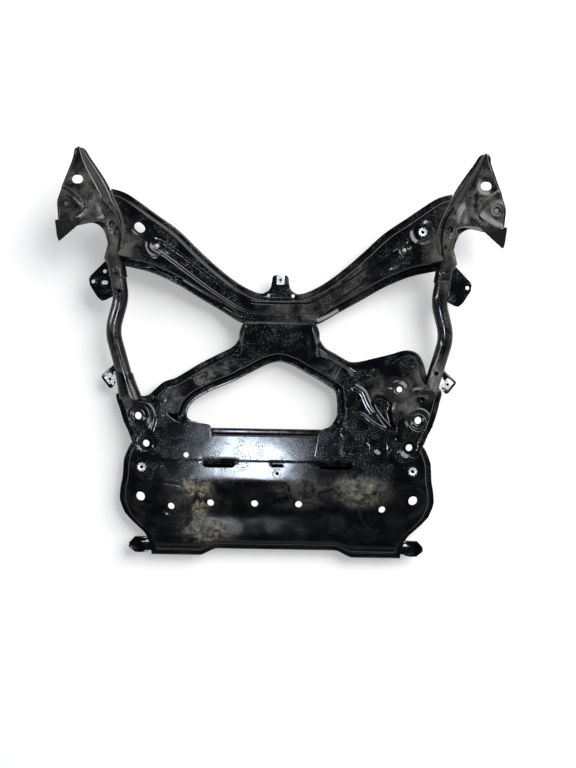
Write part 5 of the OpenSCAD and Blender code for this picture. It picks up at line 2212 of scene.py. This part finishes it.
@dataclass
class WeldRuns:
    """Runs of weld along the seams, as ripples set by geometry nodes."""

    spacing: float = 2.4
    ripple_r: float = 2.1
    ripple_least: Triple = (0.75, 0.75, 0.5)
    ripple_most: Triple = (1.15, 1.15, 0.75)
    beside: float = 1.2
    seed: int = 11

    def lines(self) -> list[Array]:
        """The seams that show a run of weld.

        Returns:
            Points of each seam.
        """
        made = []
        for side in Side:
            x, y = spline([r.inner for r in Horn(side).rows()[5:13]], 8).T
            z = SIZES.lap_z + 0.8 + arm_lift(x)
            made.append(np.column_stack([side.value * (x - self.beside), y, z]))
            made.append(self.arch(side, TUBE.front[1] - Horn.socket_l - 1.0, 20, 160))
            for y0, y1, low in ((200.0, 148.0, -2.0), (-16.0, -38.0, -4.0)):
                y = np.linspace(y0, y1, 12)
                x = TUBE.x_at(y) + SIZES.tube_r + 0.4
                z = np.full(len(y), TUBE.height((y0 + y1) / 2) + low)
                made.append(np.column_stack([side.value * x, y, z]))
        x = np.linspace(-80, 80, 30)
        made.append(np.column_stack([x, np.full(len(x), SIZES.seam_y - self.beside),
                                     np.full(len(x), SIZES.deck_z - 0.2)]))
        for s, seam in ((-1, LEFT_SEAM), (1, RIGHT_SEAM)):
            a, b = np.array(seam)
            x, y = (a + (b - a) * np.linspace(0.3, 0.7, 16)[:, None]).T
            made.append(np.column_stack([s * (x - self.beside), y,
                                         np.full(len(x), SIZES.deck_z + 0.4)]))
        return made

    @staticmethod
    def arch(side: Side, y: float, start: float, end: float) -> Array:
        """An arch of points on a side tube, between two angles in degrees.

        Args:
            side: Side of the tube.
            y: Place along the tube.
            start: First angle.
            end: Last angle.

        Returns:
            The points.
        """
        turn = np.radians(np.linspace(start, end, 24))
        r = SIZES.tube_r + 0.8
        return np.column_stack([side.value * (TUBE.x_at(y) + r * np.cos(turn)),
                                np.full(len(turn), y), TUBE.height(y) + r * np.sin(turn)])

    def build(self, paint: Material) -> None:
        """Grows every run as one object.

        Args:
            paint: Finish of the pieces.
        """
        tree, names = node_tree("weld_run", (
            ("Spacing", "NodeSocketFloat"), ("Ripple Radius", "NodeSocketFloat"),
            ("Seed", "NodeSocketInt"), ("Material", "NodeSocketMaterial")))
        given = add_node(tree, "NodeGroupInput").outputs
        line = add_node(tree, "GeometryNodeMeshToCurve", Mesh=given["Geometry"]).outputs[0]
        points = add_node(tree, "GeometryNodeCurveToPoints", {"mode": "LENGTH"}, Curve=line,
                          Length=given["Spacing"]).outputs["Points"]
        ripple = add_node(tree, "GeometryNodeMeshIcoSphere", Radius=given["Ripple Radius"],
                          Subdivisions=2).outputs[0]
        scale = add_node(tree, "FunctionNodeRandomValue", {"data_type": "FLOAT_VECTOR"},
                         in_0=self.ripple_least, in_1=self.ripple_most,
                         Seed=given["Seed"]).outputs[0]
        runs = add_node(tree, "GeometryNodeInstanceOnPoints", Points=points, Instance=ripple,
                        Scale=scale).outputs[0]
        end_tree(tree, runs, given["Material"])
        seams = self.lines()
        edges, first = [], 0
        for seam in seams:
            edges += [(first + k, first + k + 1) for k in range(len(seam) - 1)]
            first += len(seam)
        obj = grow("weld_runs", np.concatenate(seams), edges, tree, {
            names["Spacing"]: self.spacing * MM, names["Ripple Radius"]: self.ripple_r * MM,
            names["Seed"]: self.seed, names["Material"]: paint,
        })
        dress(obj, paint)


@dataclass
class ThreadedInserts:
    """Zinc inserts in the plate and the right arm: a flanged ring with teeth round it."""

    places: tuple[Triple, ...] = (
        (320.0, 288.0, 98.2), (312.0, -257.0, 59.6), (-312.0, -257.0, 59.6), (0.0, -267.0, 59.6),
    )
    ring_r: float = 8.8
    bore_r: float = 3.8
    teeth: int = 9
    tooth: float = 3.1
    tooth_tip: float = 0.5
    full_turn: float = 6.283
    seed: int = 5

    def build(self, zinc: Material) -> None:
        """Makes the rings and grows their teeth.

        Args:
            zinc: Finish of the inserts.
        """
        r, b = self.ring_r, self.bore_r
        rings = [Turned(x, y, ((b, z - 4), (b, z + 0.6), (b + 1.2, z + 1.4), (r - 0.6, z + 1.4),
                               (r, z + 0.8), (r, z + 0.1), (b + 1.6, z), (b + 1.6, z - 4)))
                 for x, y, z in self.places]
        dress(turned_object("insert_rings", rings, 48), zinc, "rivet_nuts", slot=Slot.ZINC)
        tree, names = node_tree("insert_teeth", (
            ("Teeth", "NodeSocketInt"), ("Ring Radius", "NodeSocketFloat"),
            ("Tooth", "NodeSocketFloat"), ("Seed", "NodeSocketInt"),
            ("Material", "NodeSocketMaterial")))
        given = add_node(tree, "NodeGroupInput").outputs
        circle = add_node(tree, "GeometryNodeMeshCircle", Vertices=given["Teeth"],
                          Radius=given["Ring Radius"]).outputs[0]
        cone = add_node(tree, "GeometryNodeMeshCone", Vertices=4, Radius_Top=self.tooth_tip * MM,
                        Radius_Bottom=given["Tooth"], Depth=given["Tooth"]).outputs[0]
        spin = add_node(tree, "FunctionNodeRandomValue", {"data_type": "FLOAT_VECTOR"},
                        in_0=(0.0, 0.0, 0.0), in_1=(0.0, 0.0, self.full_turn),
                        Seed=given["Seed"]).outputs[0]
        made = cone
        for points in (circle, given["Geometry"]):
            made = add_node(tree, "GeometryNodeInstanceOnPoints", Points=points, Instance=made,
                            Rotation=spin).outputs[0]
        end_tree(tree, made, given["Material"])
        obj = grow("insert_teeth", np.array(self.places), [], tree, {
            names["Teeth"]: self.teeth, names["Ring Radius"]: self.ring_r * MM,
            names["Tooth"]: self.tooth * MM, names["Seed"]: self.seed, names["Material"]: zinc,
        })
        smooth_faces(obj)
        dress(obj, zinc, "rivet_nuts", slot=Slot.ZINC)


@dataclass(frozen=True)
class Lamp:
    """A soft rectangular lamp that shines towards a point, or that only shows in the gloss."""

    name: str
    at: Triple
    to: Triple
    size: Point
    power: float
    lights: bool = False
    colour: str = "#ffffff"

    def build(self) -> None:
        """Adds the lamp."""
        data = bpy.data.lights.new(self.name, "AREA")
        data.shape = "RECTANGLE"
        data.size, data.size_y = self.size[0] * MM, self.size[1] * MM
        data.energy = self.power
        data.color = linear(self.colour)[:3]
        lamp = bpy.data.objects.new(self.name, data)
        lamp.location = Vector(self.at) * MM
        aim = Vector(self.to) - Vector(self.at)
        lamp.rotation_euler = aim.to_track_quat("-Z", "Y").to_euler()
        lamp.visible_camera = False
        lamp.visible_diffuse = self.lights
        bpy.context.scene.collection.objects.link(lamp)


@dataclass
class Studio:
    """Pale floor, soft lamps and the camera above the frame."""

    camera_at: Triple = (21.6, -60.0, 2200.0)
    roll_deg: float = 1.0
    lens: float = 43.6
    floor_half: float = 4000.0
    floor_z: float = -0.5
    floor_lift: float = 0.3
    floor_colour: str = "#e9e9e9"
    floor_roughness: float = 0.9
    # Strength and reach of the painted glow on the floor below the bolt holes
    glow: float = 0.8
    glow_wider: float = 2.2
    glow_past: float = 14.0
    sky_colour: tuple[float, ...] = (0.95, 0.97, 1.0, 1.0)
    sky_ramp: Ramp = Ramp(0.5, 0.9, 0.62, 0.04)
    gloss_ramp: Ramp = Ramp(to_low=1.0, to_high=0.5)
    lamps: tuple[Lamp, ...] = (
        Lamp("sheen_lamp", (-130, -400, 1860), (-61, -247, 60), (300, 240), 9.0, colour="#e4f0ff"),
        Lamp("key_lamp", (3000, 2625, 3800), (-100, -150, 0), (4200, 4200), 400.0, True),
        Lamp("left_strip", (-1900, 200, 1500), (0, 0, 60), (150, 1600), 14.0),
        Lamp("front_strip", (-300, 2300, 1300), (0, 0, 60), (1600, 120), 12.0),
    )

    def build(self) -> None:
        """Makes the floor, the lamps, the world and the camera."""
        self.floor()
        for lamp in self.lamps:
            lamp.build()
        self.world()
        data = bpy.data.cameras.new("camera")
        data.lens = self.lens
        data.dof.use_dof = False
        camera = bpy.data.objects.new("camera", data)
        camera.location = Vector(self.camera_at) * MM
        camera.rotation_euler = (0, 0, math.radians(self.roll_deg))
        bpy.context.scene.collection.objects.link(camera)
        bpy.context.scene.camera = camera
        bpy.context.scene.view_settings.view_transform = "Standard"

    def painted_glow_spots(self) -> list[DirtAndGlowPatch]:
        """Places below the bolt holes where the floor gets a painted glow, so the holes show white.

        Returns:
            The places.
        """
        plate, dome = RearPlate(), MountPocket()
        # Place and radius of each hole, and the height of its rim
        tops = [(*plate.gear_extra, 48.0), (*plate.drain, 58.0), (dome.x, dome.y, 8.0, 78.0)]
        seat = (*RearCorner.seat, RearCorner.seat_hole_r)
        for s in BOTH:
            tops += [(s * x, y, r, z) for (x, y, r), z in (
                (plate.body_hole, 48.0), (plate.gear_outer, 48.0), (plate.gear_inner, 48.0),
                (plate.link, 60.0), (seat, 57.0))]
        cx, cy, cz = self.camera_at
        spots = []
        for x, y, r, z in tops:
            k = cz / (cz - z)
            reach = self.glow_wider * r + self.glow_past
            spots.append(DirtAndGlowPatch(cx + (x - cx) * k, cy + (y - cy) * k, reach, self.glow))
        return spots

    def floor(self) -> None:
        """Adds a pale floor that keeps the object's shadow, with a painted glow below the bolt
        holes.
        """
        h, z = self.floor_half, self.floor_z
        corners = np.array([(-h, -h, z), (h, -h, z), (h, h, z), (-h, h, z)])
        obj = mesh_object("floor", corners, [[0, 1, 2, 3]])
        material, tree, shader = new_material("pale_floor")
        shader.inputs["Base Color"].default_value = linear(self.floor_colour)
        shader.inputs["Roughness"].default_value = self.floor_roughness
        shader.inputs["Emission Color"].default_value = (1.0, 1.0, 1.0, 1.0)
        # Camera rays see an even lift and a painted glow below the bolt holes, which no lamp lights
        seen = add_node(tree, "ShaderNodeLightPath").outputs["Is Camera Ray"]
        where = add_node(tree, "ShaderNodeTexCoord").outputs["Object"]
        glow = add_node(tree, "ShaderNodeMath", {"operation": "ADD"}, in_0=self.floor_lift,
                        in_1=patch_mask(tree, where, self.painted_glow_spots())).outputs[0]
        tree.links.new(chain(tree, "ShaderNodeMath", MULTIPLY, seen, glow),
                       shader.inputs["Emission Strength"])
        obj.data.materials.append(material)

    def world(self) -> None:
        """Sets a sky that is dim overhead, pale round the horizon and white to the camera."""
        world = bpy.data.worlds.new("studio")
        bpy.context.scene.world = world
        world.use_nodes = True
        tree = world.node_tree
        where = add_node(tree, "ShaderNodeTexCoord").outputs["Generated"]
        height = add_node(tree, "ShaderNodeSeparateXYZ", in_0=where).outputs["Z"]
        level = add_node(tree, "ShaderNodeMapRange", SMOOTH,
                         **self.sky_ramp.inputs(height)).outputs[0]
        rays = add_node(tree, "ShaderNodeLightPath").outputs
        dim = add_node(tree, "ShaderNodeMapRange",
                       **self.gloss_ramp.inputs(rays["Is Glossy Ray"])).outputs[0]
        level = add_node(tree, "ShaderNodeMath", MAXIMUM,
                         in_0=chain(tree, "ShaderNodeMath", MULTIPLY, level, dim),
                         in_1=rays["Is Camera Ray"]).outputs[0]
        background = tree.nodes["Background"].inputs
        tree.links.new(level, background["Strength"])
        background["Color"].default_value = self.sky_colour


def dress_kept_nodes(paint: Material, zinc: Material) -> None:
    """Gives the solids that stay in view their finishes, with no worn edges on their facets.

    Args:
        paint: Finish of painted solids.
        zinc: Finish of bare nuts.
    """
    for name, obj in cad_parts.items():
        if not obj.hide_render:
            obj.data.materials.clear()
            obj.data.materials.append(zinc if name in ("clip_nuts", "rivet_nuts") else paint)


# Dried mud and dust: x, y, radius, amount and, where it isn't round, how much wider than long
MUD = tuple(DirtAndGlowPatch(*row) for row in (
    (-187, -306, 36, 1.0, 1.4), (-177, -353, 42, 1.0, 0.6), (-158, -402, 36, 1.0, 1.9),
    (192, -306, 44, 0.6, 1.8), (-172, -45, 34, 0.45), (378, 262, 52, 0.3), (-378, 262, 52, 0.3),
))
DUST = tuple(DirtAndGlowPatch(*row) for row in (
    (435, 345, 95, 0.7), (-450, 360, 110, 0.62), (385, 250, 80, 0.7), (-378, 250, 85, 0.8),
    (385, 80, 60, 0.3), (-385, 80, 60, 0.3), (345, -45, 55, 0.75), (300, -85, 60, 0.75),
    (220, -60, 45, 0.5), (60, 118, 70, 0.45, 1.5), (165, 185, 75, 0.45), (-140, -20, 55, 0.4),
    (110, -40, 45, 0.4), (-345, -95, 45, 0.4), (-240, -100, 50, 0.35), (0, 140, 60, 0.4, 2.0),
    (57, -313, 50, 0.5, 2.2), (-187, -325, 80, 0.35, 1.4), (192, -306, 56, 0.6, 1.9),
    (-158, -402, 60, 0.3, 2.0),
))


def main() -> None:
    """Builds the studio and every sub-assembly."""
    Studio().build()
    paint = PaintFinish(mud_patches=MUD, dust_patches=DUST).make()
    corner_paint = PaintFinish("black_ecoat_on_corners", edge_wear=0.07, mud_patches=MUD,
                               dust_patches=DUST).make()
    plain = PaintFinish("black_ecoat_on_brackets", edge_wear=0.0).make()
    zinc = ZincFinish().make()
    FrontCrossmember().build(paint)
    CentreBrace().build(paint)
    left_corner().build(corner_paint)
    right_corner().build(corner_paint)
    RearPlate().build(paint)
    for side in Side:
        Horn(side).build(paint)
    SideTube(Side.LEFT, (-367.0, 145.6)).build(paint)
    SideTube(Side.RIGHT, (362.5, -29.8)).build(paint)
    Sleeves().build(plain)
    MountPocket().build(corner_paint)
    TubeSocket().build(corner_paint)
    SmallBrackets().build(plain, zinc)
    ThreadedInserts().build(zinc)
    weld_paint = PaintFinish("black_ecoat_on_weld_runs", dust=0.4, edge_wear=0.3, roughness=0.25)
    WeldRuns().build(weld_paint.make())
    dress_kept_nodes(plain, zinc)


if __name__ == "__main__":
    main()
